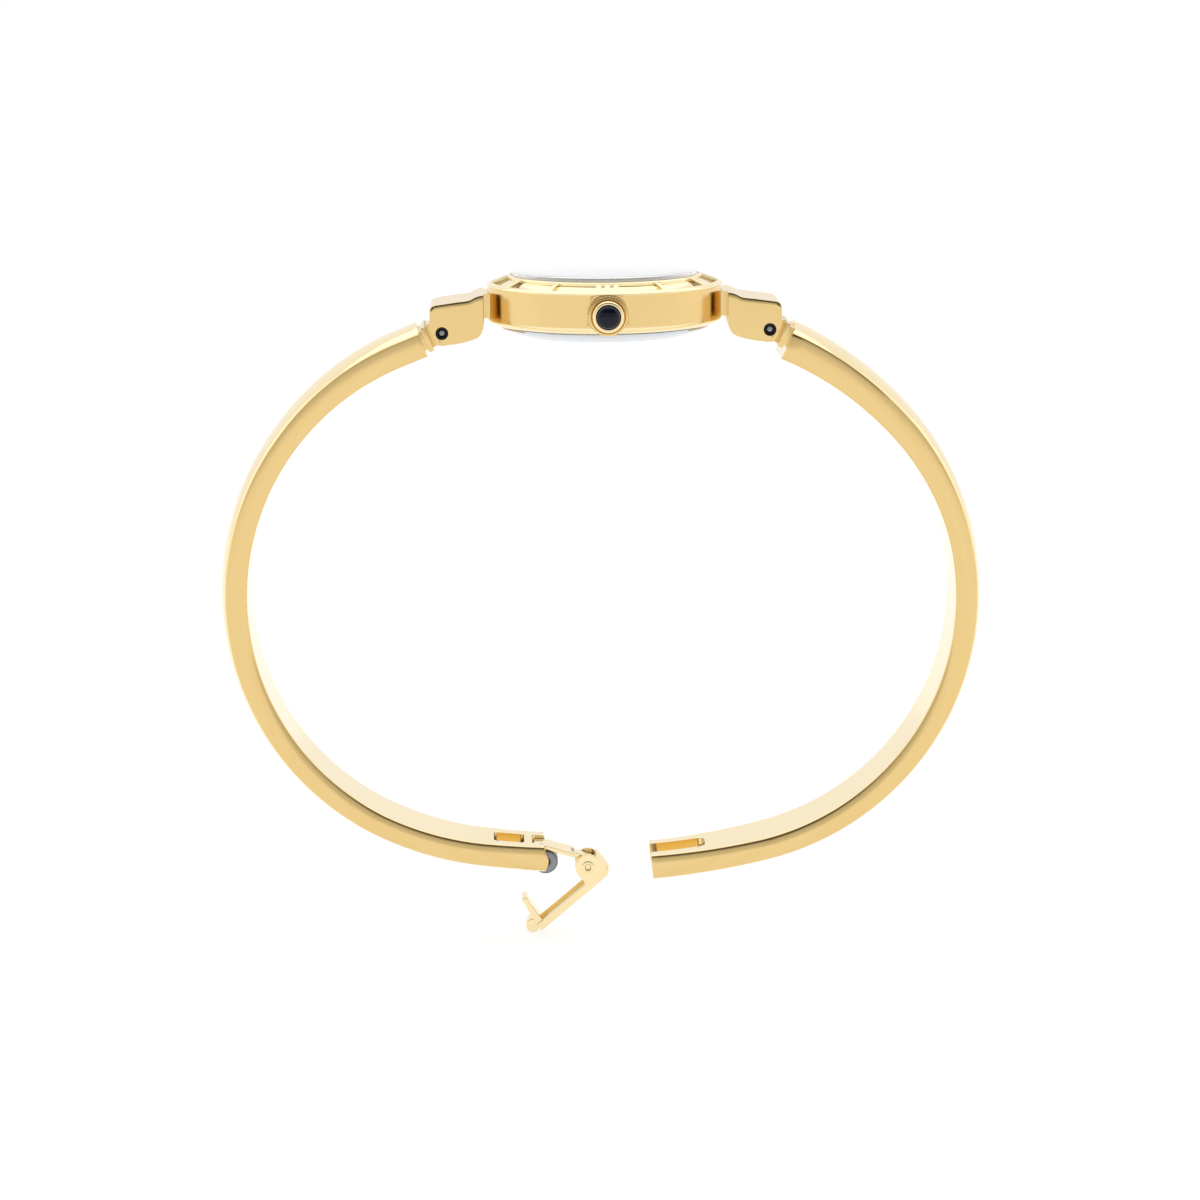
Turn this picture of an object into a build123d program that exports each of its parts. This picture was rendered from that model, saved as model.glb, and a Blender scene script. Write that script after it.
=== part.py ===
from build123d import *
import math
import os

# A bangle watch: a small round quartz watch between two rigid arms that hinge on its lugs and close with
# a fold-over clasp. Sizes are in millimetres and angles in degrees. The origin is the middle of the case
# back's flat face. +Z rises through the dial, -Y runs out along the crown, and +X points to 12 o'clock.

# Fits
running_gap = 0.03
free_gap = 0.10
body_gap = 0.15
overrun = 1.0

# Case middle: a satin band over a polished rim
case_radius = 10.0
band_height = 2.7
rim_height = 0.55
rim_inset = 0.8
inner_bore_inset = 1.9
back_bore_inset = 1.25
back_bore_height = 1.0

# Case back: a stepped steel cap that snaps into the case
back_depth = 0.95
back_flat_inset = 2.8
back_flange_inset = 1.05
back_plate = 0.5
back_flange_height = 0.3
back_skirt_wall = 0.45
back_skirt_height = 0.85
pry_notch_width = 2.6
pry_notch_depth = 0.35
back_gasket_height = 0.12

# Bezel: a conical ring with hour bars standing in a recessed track
bezel_overhang = 0.1
bezel_edge = 0.12
bezel_height = 0.92
bezel_skirt_inset = 1.0
bezel_skirt_depth = 0.9
bezel_throat_inset = 2.5
crystal_seat_height = 0.12
track_depth = 0.2
hour_bar_width = 0.45
triple_bar_pitch = 0.72
track_start_share = 0.15
track_end_share = 0.56
hours = 12
quarter_hours = 4

# Crystal and its gasket
crystal_inset = 2.15
crystal_stand = 0.3
crystal_dome = 0.34
crystal_bevel = 0.1
gasket_wall = 0.17
gasket_height = 0.7

# Dial, its raised markers and the flange ring round it
dial_inset = 0.2
dial_thickness = 0.3
dial_hole_radius = 0.75
marker_length = 1.25
marker_width = 0.28
marker_height = 0.14
marker_end_inset = 1.4
flange_ring_wall = 0.55
flange_ring_foot = 0.2

# Hands
hour_hand_share = 0.47
minute_hand_share = 0.72
hand_tail = 1.1
hand_shoulder_share = 0.67
hand_width = 0.55
hand_tip_width = 0.2
hand_thickness = 0.12
hour_hub_radius = 0.85
minute_hub_radius = 0.6
hour_hand_lift = 0.26
minute_hand_lift = 0.55
hour_hand_angle = 55.0
minute_hand_angle = -60.0

# Movement: its parts are placed by shares of its radius, so they follow it
holder_wall = 0.7
movement_flat = 0.8
plate_thickness = 1.2
dial_gap = 0.03
bridge_thickness = 0.4
bridge_gap = 0.35
bridge_share = 0.45
battery_share = 0.397
battery_height = 1.4
battery_x_share = -0.384
battery_y_share = 0.411
battery_rim = 0.25
battery_clip_thickness = 0.1
battery_clip_width = 1.4
coil_radius = 0.5
coil_length_share = 0.82
coil_x_share = 0.63
coil_y_share = 0.164
board_length_share = 0.66
board_width_share = 0.36
board_thickness = 0.2
board_corner = 0.6
board_x_share = -0.3
board_y_share = -0.55
holder_gap = 0.05

# Motion works: wheels that turn the hour hand once for twelve turns of the minute hand
wheel_module = 0.1
cannon_teeth = 10
minute_wheel_teeth = 30
minute_pinion_teeth = 8
hour_wheel_teeth = 32
wheel_thickness = 0.18
wheel_gap = 0.05
wheel_well_gap = 0.15
cannon_pipe_radius = 0.34
hour_pipe_radius = 0.55
minute_arbor_radius = 0.2
tooth_root_share = 0.3
tooth_tip_share = 0.08
tooth_root_depth_share = 1.25

# Crown, its stem and tube
crown_z = 2.55
crown_radius = 1.66
crown_front_radius = 1.3
crown_grip_length = 1.15
crown_taper_length = 0.6
crown_flutes = 24
crown_flute_depth = 0.1
crown_flute_radius = 0.12
cabochon_radius = 1.04
cabochon_seat = 0.3
cabochon_height = 0.62
crown_recess_radius = 1.85
crown_recess_depth = 0.28
crown_travel_gap = 0.08
crown_bore_depth = 0.75
stem_radius = 0.3
stem_length = 6.0
stem_groove_depth = 0.1
stem_groove_width = 0.34
stem_groove_from_end = 1.2
tube_wall = 0.22
tube_stand = 0.12
setting_lever_thickness = 0.24
setting_lever_width = 1.9
setting_lever_height = 1.0

# Lugs: a clevis at 12 and at 6 o'clock, with the arm's hinge pin across it
lug_width = 7.3
lug_neck_width = 4.4
lug_neck_length = 0.42
lug_reach = 4.97
lug_height = 4.2
hinge_from_case = 3.87
hinge_z = 0.52
lug_end_from_hinge = 1.02
lug_foot_from_hinge = 1.03
hinge_pin_radius = 0.57
hinge_pin_recess = 0.5
lug_round = 0.4
lug_outline_shares = (
    (0.0, 1.0),
    (0.117, 0.995),
    (0.246, 0.946),
    (0.345, 0.892),
    (0.538, 0.866),
    (1.0, 0.782),
    (1.0, 0.36),
    (0.895, 0.075),
    (0.82, 0.0),
    (0.567, 0.021),
    (0.246, 0.113),
    (0.127, 0.22),
    (0.087, 0.34),
    (0.07, 0.5),
    (0.0, 0.506),
)
tongue_width = 3.4
tongue_radius = 1.3

# Arms: half hoops of shallow domed section, narrowing to the clasp
arm_slope_angle = 21.0
arm_inner_drop = 1.4
arm_start = 1.85
arm_width = 7.4
arm_waist_width = 7.2
arm_end_width = 6.0
arm_side_height = 1.8
arm_end_side_height = 1.65
arm_dome = 0.65
arm_end_dome = 0.5
arm_bevel = 0.22
right_shoulder_bend_radius = 28.2
right_shoulder_bend_angle = 27.7
right_side_bend_radius = 21.648
right_side_bend_angle = 118.075
right_clasp_bend_radius = 62.5
right_clasp_bend_angle = 8.925
left_shoulder_bend_radius = 250.0
left_shoulder_bend_angle = 1.0
left_side_bend_radius = 21.505
left_side_bend_angle = 129.603
left_clasp_bend_radius = 28.6
left_clasp_bend_angle = 29.697
collar_from_hinge = 1.17
collar_length = 0.42
collar_width = 6.4
collar_top = 1.0
collar_foot = 1.15
neck_inset = 0.25

# Clasp ends of the arms
slot_width = 2.95
slot_length = 4.8
slot_corner = 0.6
cross_pin_radius = 0.22
cross_pin_grip = 1.0
left_pin_from_end = 0.34
left_pin_depth = 1.45
right_pin_from_end = 0.42
right_pin_depth = 1.0
window_from_pin = 1.85
window_length = 2.65
window_corner = 0.3

# Clasp link: a strip between a steel barrel on the left arm's cross pin and the lever's rivet
link_length = 3.74
link_angle = -7.8
barrel_radius = 1.08
barrel_length = 2.6
link_strip = 0.36
link_width = 2.6
link_eye_radius = 0.8
link_eye_width = 1.5
link_wide_length = 2.45
link_wrap = 0.35
rivet_radius = 0.4
rivet_head_radius = 0.55
rivet_head = 0.07

# Clasp lever: a folded channel with a domed back, a tang that drops into the window, and a lip to lift it.
# Its points count along the lever from the rivet and out to its back. The tang's are shares of its length.
lever_angle = 220.0
lever_width = 2.7
lever_wall = 0.5
lever_disc_radius = 1.12
lever_nose = 1.2
lever_nose_top = 0.25
lever_nose_corner = 0.7
lever_back = 1.68
lever_dome = 0.22
lever_flange_edge = 1.03
lever_web = 0.3
lever_bevel = 0.05
lever_length = 6.8
tang_width = 2.3
tang_shares = (
    (0.8897, 0.2206),
    (0.8985, 0.1294),
    (0.8794, -0.1176),
    (0.8676, -0.1618),
    (0.8706, -0.2088),
    (0.9324, -0.2235),
    (0.9441, -0.1324),
    (1.0015, 0.1118),
    (1.0147, 0.1912),
    (0.9882, 0.2382),
)
lip_radius = 0.62
lip_width = 2.0
lip_along = 7.15
lip_out = 0.92

# Levels above the case back's flat face
rim_z = back_depth
band_foot_z = rim_z + rim_height
band_top_z = band_foot_z + band_height
bezel_top_z = band_top_z + bezel_height
bezel_seat_z = band_top_z - bezel_skirt_depth
crystal_seat_z = band_top_z + crystal_seat_height
crystal_edge_z = bezel_top_z + crystal_stand
dial_top_z = bezel_seat_z - free_gap
dial_foot_z = dial_top_z - dial_thickness
plate_top_z = dial_foot_z - dial_gap
plate_foot_z = plate_top_z - plate_thickness

# Sizes that follow from the ones above
inner_bore_radius = case_radius - inner_bore_inset
back_bore_radius = case_radius - back_bore_inset
back_flat_radius = case_radius - back_flat_inset
back_flange_radius = case_radius - back_flange_inset
bezel_radius = case_radius + bezel_overhang
bezel_skirt_radius = case_radius - bezel_skirt_inset
bezel_throat_radius = case_radius - bezel_throat_inset
crystal_radius = case_radius - crystal_inset
crystal_bore_radius = crystal_radius + gasket_wall + running_gap
dial_radius = inner_bore_radius - dial_inset
marker_end_radius = dial_radius - marker_end_inset
holder_radius = inner_bore_radius - free_gap
movement_radius = holder_radius - holder_wall
movement_half_width = movement_radius - movement_flat
bridge_radius = movement_radius * bridge_share
battery_radius = movement_radius * battery_share
battery_x = movement_radius * battery_x_share
battery_y = movement_radius * battery_y_share
coil_length = movement_radius * coil_length_share
coil_x = movement_radius * coil_x_share
coil_y = movement_radius * coil_y_share
hinge_x = case_radius + hinge_from_case
right_bends = (
    (right_shoulder_bend_radius, right_shoulder_bend_angle),
    (right_side_bend_radius, right_side_bend_angle),
    (right_clasp_bend_radius, right_clasp_bend_angle),
)
left_bends = (
    (left_shoulder_bend_radius, left_shoulder_bend_angle),
    (left_side_bend_radius, left_side_bend_angle),
    (left_clasp_bend_radius, left_clasp_bend_angle),
)
tube_radius = stem_radius + running_gap + tube_wall


def side_face(*points):
    """A face on the X-Z plane from (x, z) points."""
    return Plane.XZ * make_face(Polyline(*points, close=True))


def turned(*points):
    """A ring or disc turned about the dial's axis from (radius, height) points."""
    return revolve(side_face(*points), Axis.Z)


def disc(radius, foot, height, at=(0, 0), bore=0):
    """An upright disc or ring standing on a level."""
    shape = Circle(radius) if bore == 0 else Circle(radius) - Circle(bore)
    return Pos(at[0], at[1], foot) * extrude(shape, height)


def rod(radius, x, z, start_y, end_y):
    """A rod along Y through the point (x, z)."""
    return Pos(x, start_y, z) * extrude(Plane.XZ * Circle(radius), start_y - end_y)


def across(face, width):
    """A face on an X-Z plane thickened evenly to both sides of the watch's middle plane."""
    return extrude(face, width / 2, both=True)


def heading(angle):
    """A unit vector on the X-Z plane."""
    return Vector(math.cos(math.radians(angle)), 0, math.sin(math.radians(angle)))


def spur_gear(teeth, thickness, bore):
    """A small spur wheel with straight-sided teeth, lying on the level plane."""
    tip_radius = wheel_module * (teeth / 2 + 1)
    root_radius = wheel_module * (teeth / 2 - tooth_root_depth_share)
    pitch_angle = 360 / teeth
    corners = []
    for tooth in range(teeth):
        middle = tooth * pitch_angle
        for share, radius in (
            (-tooth_root_share, root_radius),
            (-tooth_tip_share, tip_radius),
            (tooth_tip_share, tip_radius),
            (tooth_root_share, root_radius),
        ):
            turn = math.radians(middle + share * pitch_angle)
            corners.append((radius * math.cos(turn), radius * math.sin(turn)))
    face = make_face(Polyline(*corners, close=True))
    if bore:
        face -= Circle(bore)
    return extrude(face, thickness)


# Case

def case_middle():
    shelf_z = rim_z + back_bore_height
    ring = turned(
        (case_radius - rim_inset, rim_z),
        (case_radius, band_foot_z),
        (case_radius, band_top_z),
        (bezel_skirt_radius, band_top_z),
        (bezel_skirt_radius, bezel_seat_z),
        (inner_bore_radius, bezel_seat_z),
        (inner_bore_radius, shelf_z),
        (back_bore_radius, shelf_z),
        (back_bore_radius, rim_z),
    )
    recess_y = -case_radius + crown_recess_depth
    recess = rod(crown_recess_radius, 0, crown_z, recess_y, -case_radius - overrun)
    tube_hole = rod(tube_radius, 0, crown_z, 0, -case_radius - overrun)
    return ring - recess - tube_hole


def lug():
    """The lug at 12 o'clock. Its outline follows the hinge, and its neck meets the band."""
    left = hinge_x + lug_end_from_hinge - lug_reach
    foot = hinge_z - lug_foot_from_hinge
    points = [(left + u * lug_reach, foot + v * lug_height) for u, v in lug_outline_shares]
    block = across(side_face(*points), lug_width)
    block = fillet(block.edges().filter_by(Axis.Y).group_by(Axis.X)[-1].sort_by(Axis.Z)[-1], lug_round)
    neck_end = left + lug_neck_length
    for side in (-1, 1):
        block -= Pos(neck_end, side * lug_neck_width / 2, foot) * Box(
            lug_reach,
            lug_width,
            lug_height * 2,
            align=(Align.MAX, Align.MIN if side > 0 else Align.MAX, Align.CENTER),
        )
    block -= disc(case_radius, foot - overrun, lug_height + 2 * overrun)
    room = tongue_radius + body_gap
    slot = Pos(hinge_x - room, 0, hinge_z + room) * Box(
        lug_reach,
        tongue_width + 2 * free_gap,
        lug_height,
        align=(Align.MIN, Align.CENTER, Align.MAX),
    )
    block -= slot
    return block - rod(hinge_pin_radius, hinge_x, hinge_z, lug_width, -lug_width)


def hinge_pin():
    half = lug_width / 2 - hinge_pin_recess
    return rod(hinge_pin_radius, hinge_x, hinge_z, half, -half)


def bezel():
    inner = crystal_bore_radius
    edge_z = band_top_z + bezel_edge
    ring = turned(
        (bezel_radius, band_top_z),
        (bezel_radius, edge_z),
        (inner, bezel_top_z),
        (inner, crystal_seat_z),
        (bezel_throat_radius, crystal_seat_z),
        (bezel_throat_radius, bezel_seat_z),
        (bezel_skirt_radius, bezel_seat_z),
        (bezel_skirt_radius, band_top_z),
    )
    run = inner - bezel_radius
    rise = bezel_top_z - edge_z
    slant = math.hypot(run, rise)

    def on_cone(share, depth):
        """A point on the cone, counted from its inner edge, and so deep below its surface."""
        radius = inner - share * run + depth * -rise / slant
        level = bezel_top_z - share * rise - depth * -run / slant
        return radius, level

    track = turned(
        on_cone(track_start_share, -track_depth),
        on_cone(track_end_share, -track_depth),
        on_cone(track_end_share, track_depth),
        on_cone(track_start_share, track_depth),
    )
    bar = Pos(inner, 0, band_top_z) * Box(
        bezel_radius, hour_bar_width, bezel_height * 2, align=(Align.MIN, Align.CENTER, Align.CENTER)
    )
    bars = [Rot(0, 0, 360 / hours * hour) * bar for hour in range(hours)]
    for quarter in range(quarter_hours):
        for side in (-1, 1):
            bars.append(Rot(0, 0, 360 / quarter_hours * quarter) * Pos(0, side * triple_bar_pitch) * bar)
    return ring - (track - bars)


def crystal():
    top_z = crystal_edge_z + crystal_dome
    flat_radius = crystal_radius - crystal_bevel
    dome_radius = (flat_radius**2 + crystal_dome**2) / (2 * crystal_dome)
    blank = turned(
        (0, crystal_seat_z),
        (crystal_radius, crystal_seat_z),
        (crystal_radius, crystal_edge_z - crystal_bevel),
        (flat_radius, crystal_edge_z),
        (flat_radius, top_z),
        (0, top_z),
    )
    return blank & Pos(0, 0, top_z - dome_radius) * Sphere(dome_radius)


def crystal_gasket():
    return disc(
        crystal_radius + gasket_wall, crystal_seat_z, gasket_height, bore=crystal_radius
    )


def flange_ring():
    outer = bezel_throat_radius - free_gap
    return turned(
        (outer, dial_top_z),
        (outer, crystal_seat_z - free_gap),
        (outer - flange_ring_foot, crystal_seat_z - free_gap),
        (outer - flange_ring_wall, dial_top_z),
    )


def dial():
    return disc(dial_radius, dial_foot_z, dial_thickness, bore=dial_hole_radius)


def hour_markers():
    bar = Pos(marker_end_radius, 0, dial_top_z) * Box(
        marker_length, marker_width, marker_height, align=(Align.MAX, Align.CENTER, Align.MIN)
    )
    return [Rot(0, 0, 360 / hours * hour) * bar for hour in range(hours)]


def hand(length, hub_radius, bore, foot, angle):
    """A tapered hand with a tail and a round hub."""
    blade = make_face(
        Polyline(
            (-hand_tail, hand_width / 2),
            (length * hand_shoulder_share, hand_width / 2),
            (length, hand_tip_width / 2),
            (length, -hand_tip_width / 2),
            (length * hand_shoulder_share, -hand_width / 2),
            (-hand_tail, -hand_width / 2),
            close=True,
        )
    )
    shape = blade + Circle(hub_radius)
    if bore:
        shape -= Circle(bore)
    return Rot(0, 0, angle) * Pos(0, 0, foot) * extrude(shape, hand_thickness)


def hour_hand():
    return hand(
        dial_radius * hour_hand_share,
        hour_hub_radius,
        cannon_pipe_radius + running_gap,
        dial_top_z + hour_hand_lift,
        hour_hand_angle,
    )


def minute_hand():
    length = dial_radius * minute_hand_share
    return hand(length, minute_hub_radius, 0, dial_top_z + minute_hand_lift, minute_hand_angle)


def case_back():
    inner_z = back_plate
    skirt_outer = back_bore_radius - running_gap
    skirt_inner = skirt_outer - back_skirt_wall
    cap = turned(
        (0, 0),
        (back_flat_radius, 0),
        (back_flange_radius, rim_z - back_flange_height),
        (back_flange_radius, rim_z),
        (skirt_outer, rim_z),
        (skirt_outer, rim_z + back_skirt_height),
        (skirt_inner, rim_z + back_skirt_height),
        (skirt_inner, inner_z + back_skirt_wall),
        (skirt_inner - back_skirt_wall, inner_z),
        (0, inner_z),
    )
    notch = Pos(0, -back_flange_radius, rim_z) * Box(
        pry_notch_width, pry_notch_depth * 2, back_flange_height * 2
    )
    return cap - notch


def back_gasket():
    skirt_outer = back_bore_radius - running_gap
    skirt_inner = skirt_outer - back_skirt_wall
    return disc(skirt_outer, rim_z + back_skirt_height, back_gasket_height, bore=skirt_inner)


# Crown

def crown_foot_y():
    return -case_radius + crown_recess_depth - crown_travel_gap


def crown():
    foot = crown_foot_y()
    grip_end = foot - crown_grip_length
    front = grip_end - crown_taper_length
    body = rod(crown_radius, 0, crown_z, foot, grip_end)
    flute_orbit = crown_radius + crown_flute_radius - crown_flute_depth
    for flute in range(crown_flutes):
        at = heading(360 / crown_flutes * flute) * flute_orbit
        body -= rod(crown_flute_radius, at.X, crown_z + at.Z, foot, grip_end)
    cone = Pos(0, 0, crown_z) * revolve(
        Plane.XY
        * make_face(
            Polyline(
                (0, grip_end),
                (crown_radius - crown_flute_depth, grip_end),
                (crown_front_radius, front),
                (0, front),
                close=True,
            )
        ),
        Axis.Y,
    )
    body += cone
    body -= rod(cabochon_radius, 0, crown_z, front + cabochon_seat, front - overrun)
    body -= rod(tube_radius + running_gap, 0, crown_z, foot, foot - tube_stand - free_gap)
    return body - rod(stem_radius, 0, crown_z, foot, foot - crown_bore_depth)


def cabochon():
    front = crown_foot_y() - crown_grip_length - crown_taper_length
    tip = front - cabochon_height
    dome_radius = (cabochon_radius**2 + cabochon_height**2) / (2 * cabochon_height)
    ball = Pos(0, tip + dome_radius, crown_z) * Sphere(dome_radius)
    dome = rod(cabochon_radius, 0, crown_z, front, tip) & ball
    return dome + rod(cabochon_radius, 0, crown_z, front + cabochon_seat, front)


def crown_stem():
    outer = crown_foot_y() - crown_bore_depth
    inner = outer + stem_length
    stem = rod(stem_radius, 0, crown_z, inner, outer)
    groove_y = inner - stem_groove_from_end
    ring = rod(stem_radius + overrun, 0, crown_z, groove_y, groove_y - stem_groove_width)
    ring -= rod(stem_radius - stem_groove_depth, 0, crown_z, groove_y, groove_y - stem_groove_width)
    return stem - ring


def crown_tube():
    start = -inner_bore_radius - free_gap
    end = -case_radius + crown_recess_depth - tube_stand
    tube = rod(tube_radius, 0, crown_z, start, end)
    return tube - rod(stem_radius + running_gap, 0, crown_z, start, end)


# Movement

def movement_outline(gap=0):
    return Circle(movement_radius + gap) & Rectangle(
        2 * (movement_half_width + gap), 2 * (movement_radius + gap)
    )


def gear_distance():
    return wheel_module * (cannon_teeth + minute_wheel_teeth) / 2


def cannon_foot_z():
    return plate_top_z - 2 * (wheel_thickness + wheel_gap)


def main_plate():
    plate = Pos(0, 0, plate_foot_z) * extrude(movement_outline(), plate_thickness)
    well_z = cannon_foot_z() - wheel_gap
    well_depth = plate_top_z - well_z
    hour_room = wheel_module * (hour_wheel_teeth / 2 + 1) + wheel_well_gap
    minute_room = wheel_module * (minute_wheel_teeth / 2 + 1) + wheel_well_gap
    plate -= disc(hour_room, well_z, well_depth)
    plate -= disc(minute_room, well_z, well_depth, at=(0, gear_distance()))
    plate += disc(minute_arbor_radius, well_z, well_depth - wheel_gap, at=(0, gear_distance()))
    plate -= disc(cannon_pipe_radius + running_gap, plate_foot_z, plate_thickness)
    plate -= disc(battery_radius + free_gap, plate_foot_z, battery_room(), at=(battery_x, battery_y))
    stem_end = crown_foot_y() - crown_bore_depth + stem_length + free_gap
    channel = Pos(0, stem_end, plate_top_z) * Box(
        setting_lever_width + 2 * free_gap,
        case_radius,
        running_gap + setting_lever_height + free_gap,
        align=(Align.CENTER, Align.MAX, Align.MAX),
    )
    return plate - channel


def battery_foot_z():
    return back_plate + battery_clip_thickness + free_gap


def battery_room():
    """How far the battery's pocket reaches up into the plate."""
    return battery_foot_z() + battery_height + free_gap - plate_foot_z


def battery():
    at = (battery_x, battery_y)
    cell = disc(battery_radius, battery_foot_z() + battery_rim, battery_height - battery_rim, at=at)
    cap = disc(battery_radius - battery_rim, battery_foot_z(), battery_rim, at=at)
    return cell + cap


def battery_clip():
    foot = battery_foot_z() - battery_clip_thickness
    strap = Pos(battery_x, battery_y, foot) * Box(
        2 * battery_radius,
        battery_clip_width,
        battery_clip_thickness,
        align=(Align.CENTER, Align.CENTER, Align.MIN),
    )
    leg_x = battery_x + battery_radius + free_gap
    leg = Pos(leg_x, battery_y, foot) * Box(
        battery_clip_thickness,
        battery_clip_width,
        plate_foot_z - foot,
        align=(Align.MIN, Align.CENTER, Align.MIN),
    )
    bridge = Pos(battery_x, battery_y, foot) * Box(
        battery_radius + free_gap + battery_clip_thickness,
        battery_clip_width,
        battery_clip_thickness,
        align=(Align.MIN, Align.CENTER, Align.MIN),
    )
    return strap + bridge + leg


def train_bridge():
    top = plate_foot_z - bridge_gap
    shape = Circle(bridge_radius) - Pos(battery_x, battery_y) * Circle(battery_radius + 2 * free_gap)
    bridge = Pos(0, 0, top - bridge_thickness) * extrude(shape, bridge_thickness)
    post = disc(minute_arbor_radius * 2, top, bridge_gap, at=(bridge_radius / 2, -bridge_radius / 2))
    return bridge + post + mirror(post, Plane.YZ)


def coil():
    half = coil_length / 2
    z = plate_foot_z - coil_radius
    winding = rod(coil_radius, coil_x, z, coil_y + half, coil_y - half)
    end = Pos(coil_x, coil_y, z) * Box(2 * coil_radius, coil_radius, 2 * coil_radius)
    ends = [Pos(0, side * (half + coil_radius / 2), 0) * end for side in (-1, 1)]
    return winding + ends


def circuit_board():
    at = (movement_radius * board_x_share, movement_radius * board_y_share)
    outline = RectangleRounded(
        movement_radius * board_length_share, movement_radius * board_width_share, board_corner
    )
    return Pos(*at, plate_foot_z - board_thickness) * extrude(outline, board_thickness)


def movement_holder():
    foot = rim_z + free_gap
    outline = Circle(holder_radius) - movement_outline(holder_gap)
    ring = Pos(0, 0, foot) * extrude(outline, plate_top_z - foot)
    gate = Pos(0, 0, crown_z) * Box(
        2 * (stem_radius + free_gap), case_radius, plate_top_z, align=(Align.CENTER, Align.MAX, Align.CENTER)
    )
    return ring - gate


def setting_lever():
    groove_y = crown_foot_y() - crown_bore_depth + stem_length - stem_groove_from_end - stem_groove_width / 2
    neck = stem_radius - stem_groove_depth + running_gap
    upper = (Align.CENTER, Align.CENTER, Align.MAX)
    plate = Pos(0, groove_y, plate_top_z - running_gap) * Box(
        setting_lever_width, setting_lever_thickness, setting_lever_height, align=upper
    )
    keyway = Pos(0, groove_y, plate_top_z) * Box(
        2 * neck, setting_lever_thickness, plate_top_z - crown_z, align=upper
    )
    return plate - keyway - rod(neck, 0, crown_z, groove_y + overrun, groove_y - overrun)


def cannon_pinion():
    foot = cannon_foot_z()
    wheel = Pos(0, 0, foot) * spur_gear(cannon_teeth, wheel_thickness, 0)
    pipe = disc(cannon_pipe_radius, plate_foot_z, dial_top_z + minute_hand_lift - plate_foot_z)
    return wheel + pipe


def hour_wheel():
    foot = cannon_foot_z() + wheel_thickness + wheel_gap
    bore = cannon_pipe_radius + running_gap
    wheel = Pos(0, 0, foot) * spur_gear(hour_wheel_teeth, wheel_thickness, bore)
    return wheel + disc(hour_pipe_radius, foot, dial_top_z + hour_hand_lift - foot, bore=bore)


def minute_wheel():
    bore = minute_arbor_radius + running_gap
    wheel = Rot(0, 0, 180 / minute_wheel_teeth) * spur_gear(minute_wheel_teeth, wheel_thickness, bore)
    pinion = Rot(0, 0, 180 / minute_pinion_teeth) * spur_gear(
        minute_pinion_teeth, wheel_thickness + wheel_gap, bore
    )
    return Pos(0, gear_distance(), cannon_foot_z()) * (wheel + Pos(0, 0, wheel_thickness) * pinion)


# Arms

def hinge_point(along, outward):
    """A point of the right arm's root, counted from the hinge along the arm and outward from it."""
    step = heading(-arm_slope_angle)
    out = heading(90 - arm_slope_angle)
    return hinge_x + along * step.X + outward * out.X, hinge_z + along * step.Z + outward * out.Z


def domed_section(at, tangent, width, foot, side, dome, bevel):
    """A flat-sided section with a domed outer edge, set square to a path on the X-Z plane."""
    half = width / 2
    outline = make_face(
        [
            Polyline(
                (-half, side),
                (-half, foot + bevel),
                (-half + bevel, foot),
                (half - bevel, foot),
                (half, foot + bevel),
                (half, side),
            ),
            ThreePointArc((half, side), (0, side + dome), (-half, side)),
        ]
    )
    return Plane(origin=at, x_dir=(0, 1, 0), z_dir=tangent) * outline


def arm_path(bends):
    """The inner face's line on the X-Z plane, from the neck to the clasp end."""
    (shoulder_radius, shoulder_angle), (side_radius, side_angle), (clasp_radius, clasp_angle) = bends
    root_angle = math.degrees(arm_start / shoulder_radius)
    slope = heading(-arm_slope_angle)
    root = JernArc(hinge_point(0, -arm_inner_drop), (slope.X, slope.Z), shoulder_radius, -root_angle)
    shoulder = JernArc(root @ 1, root % 1, shoulder_radius, root_angle - shoulder_angle)
    side = JernArc(shoulder @ 1, shoulder % 1, side_radius, -side_angle)
    clasp = JernArc(side @ 1, side % 1, clasp_radius, -clasp_angle)
    return [Plane.XZ * edge for edge in (shoulder, side, clasp)]


def clasp_end(bends):
    """The plane at an arm's clasp end: X runs across, Y outward and Z out of the end."""
    last = arm_path(bends)[-1]
    return Plane(origin=last @ 1, x_dir=(0, 1, 0), z_dir=last % 1)


def pin_point(end, from_end, depth):
    """Where a cross pin's axis lies, counted from the clasp end and from the inner face."""
    return end.origin - end.z_dir * from_end + end.y_dir * depth


def cross_pin(at, width=slot_width):
    """A thin rod across a slot, held in the prongs on both sides."""
    half = width / 2 + cross_pin_grip
    return rod(cross_pin_radius, at.X, at.Z, half, -half)


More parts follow.
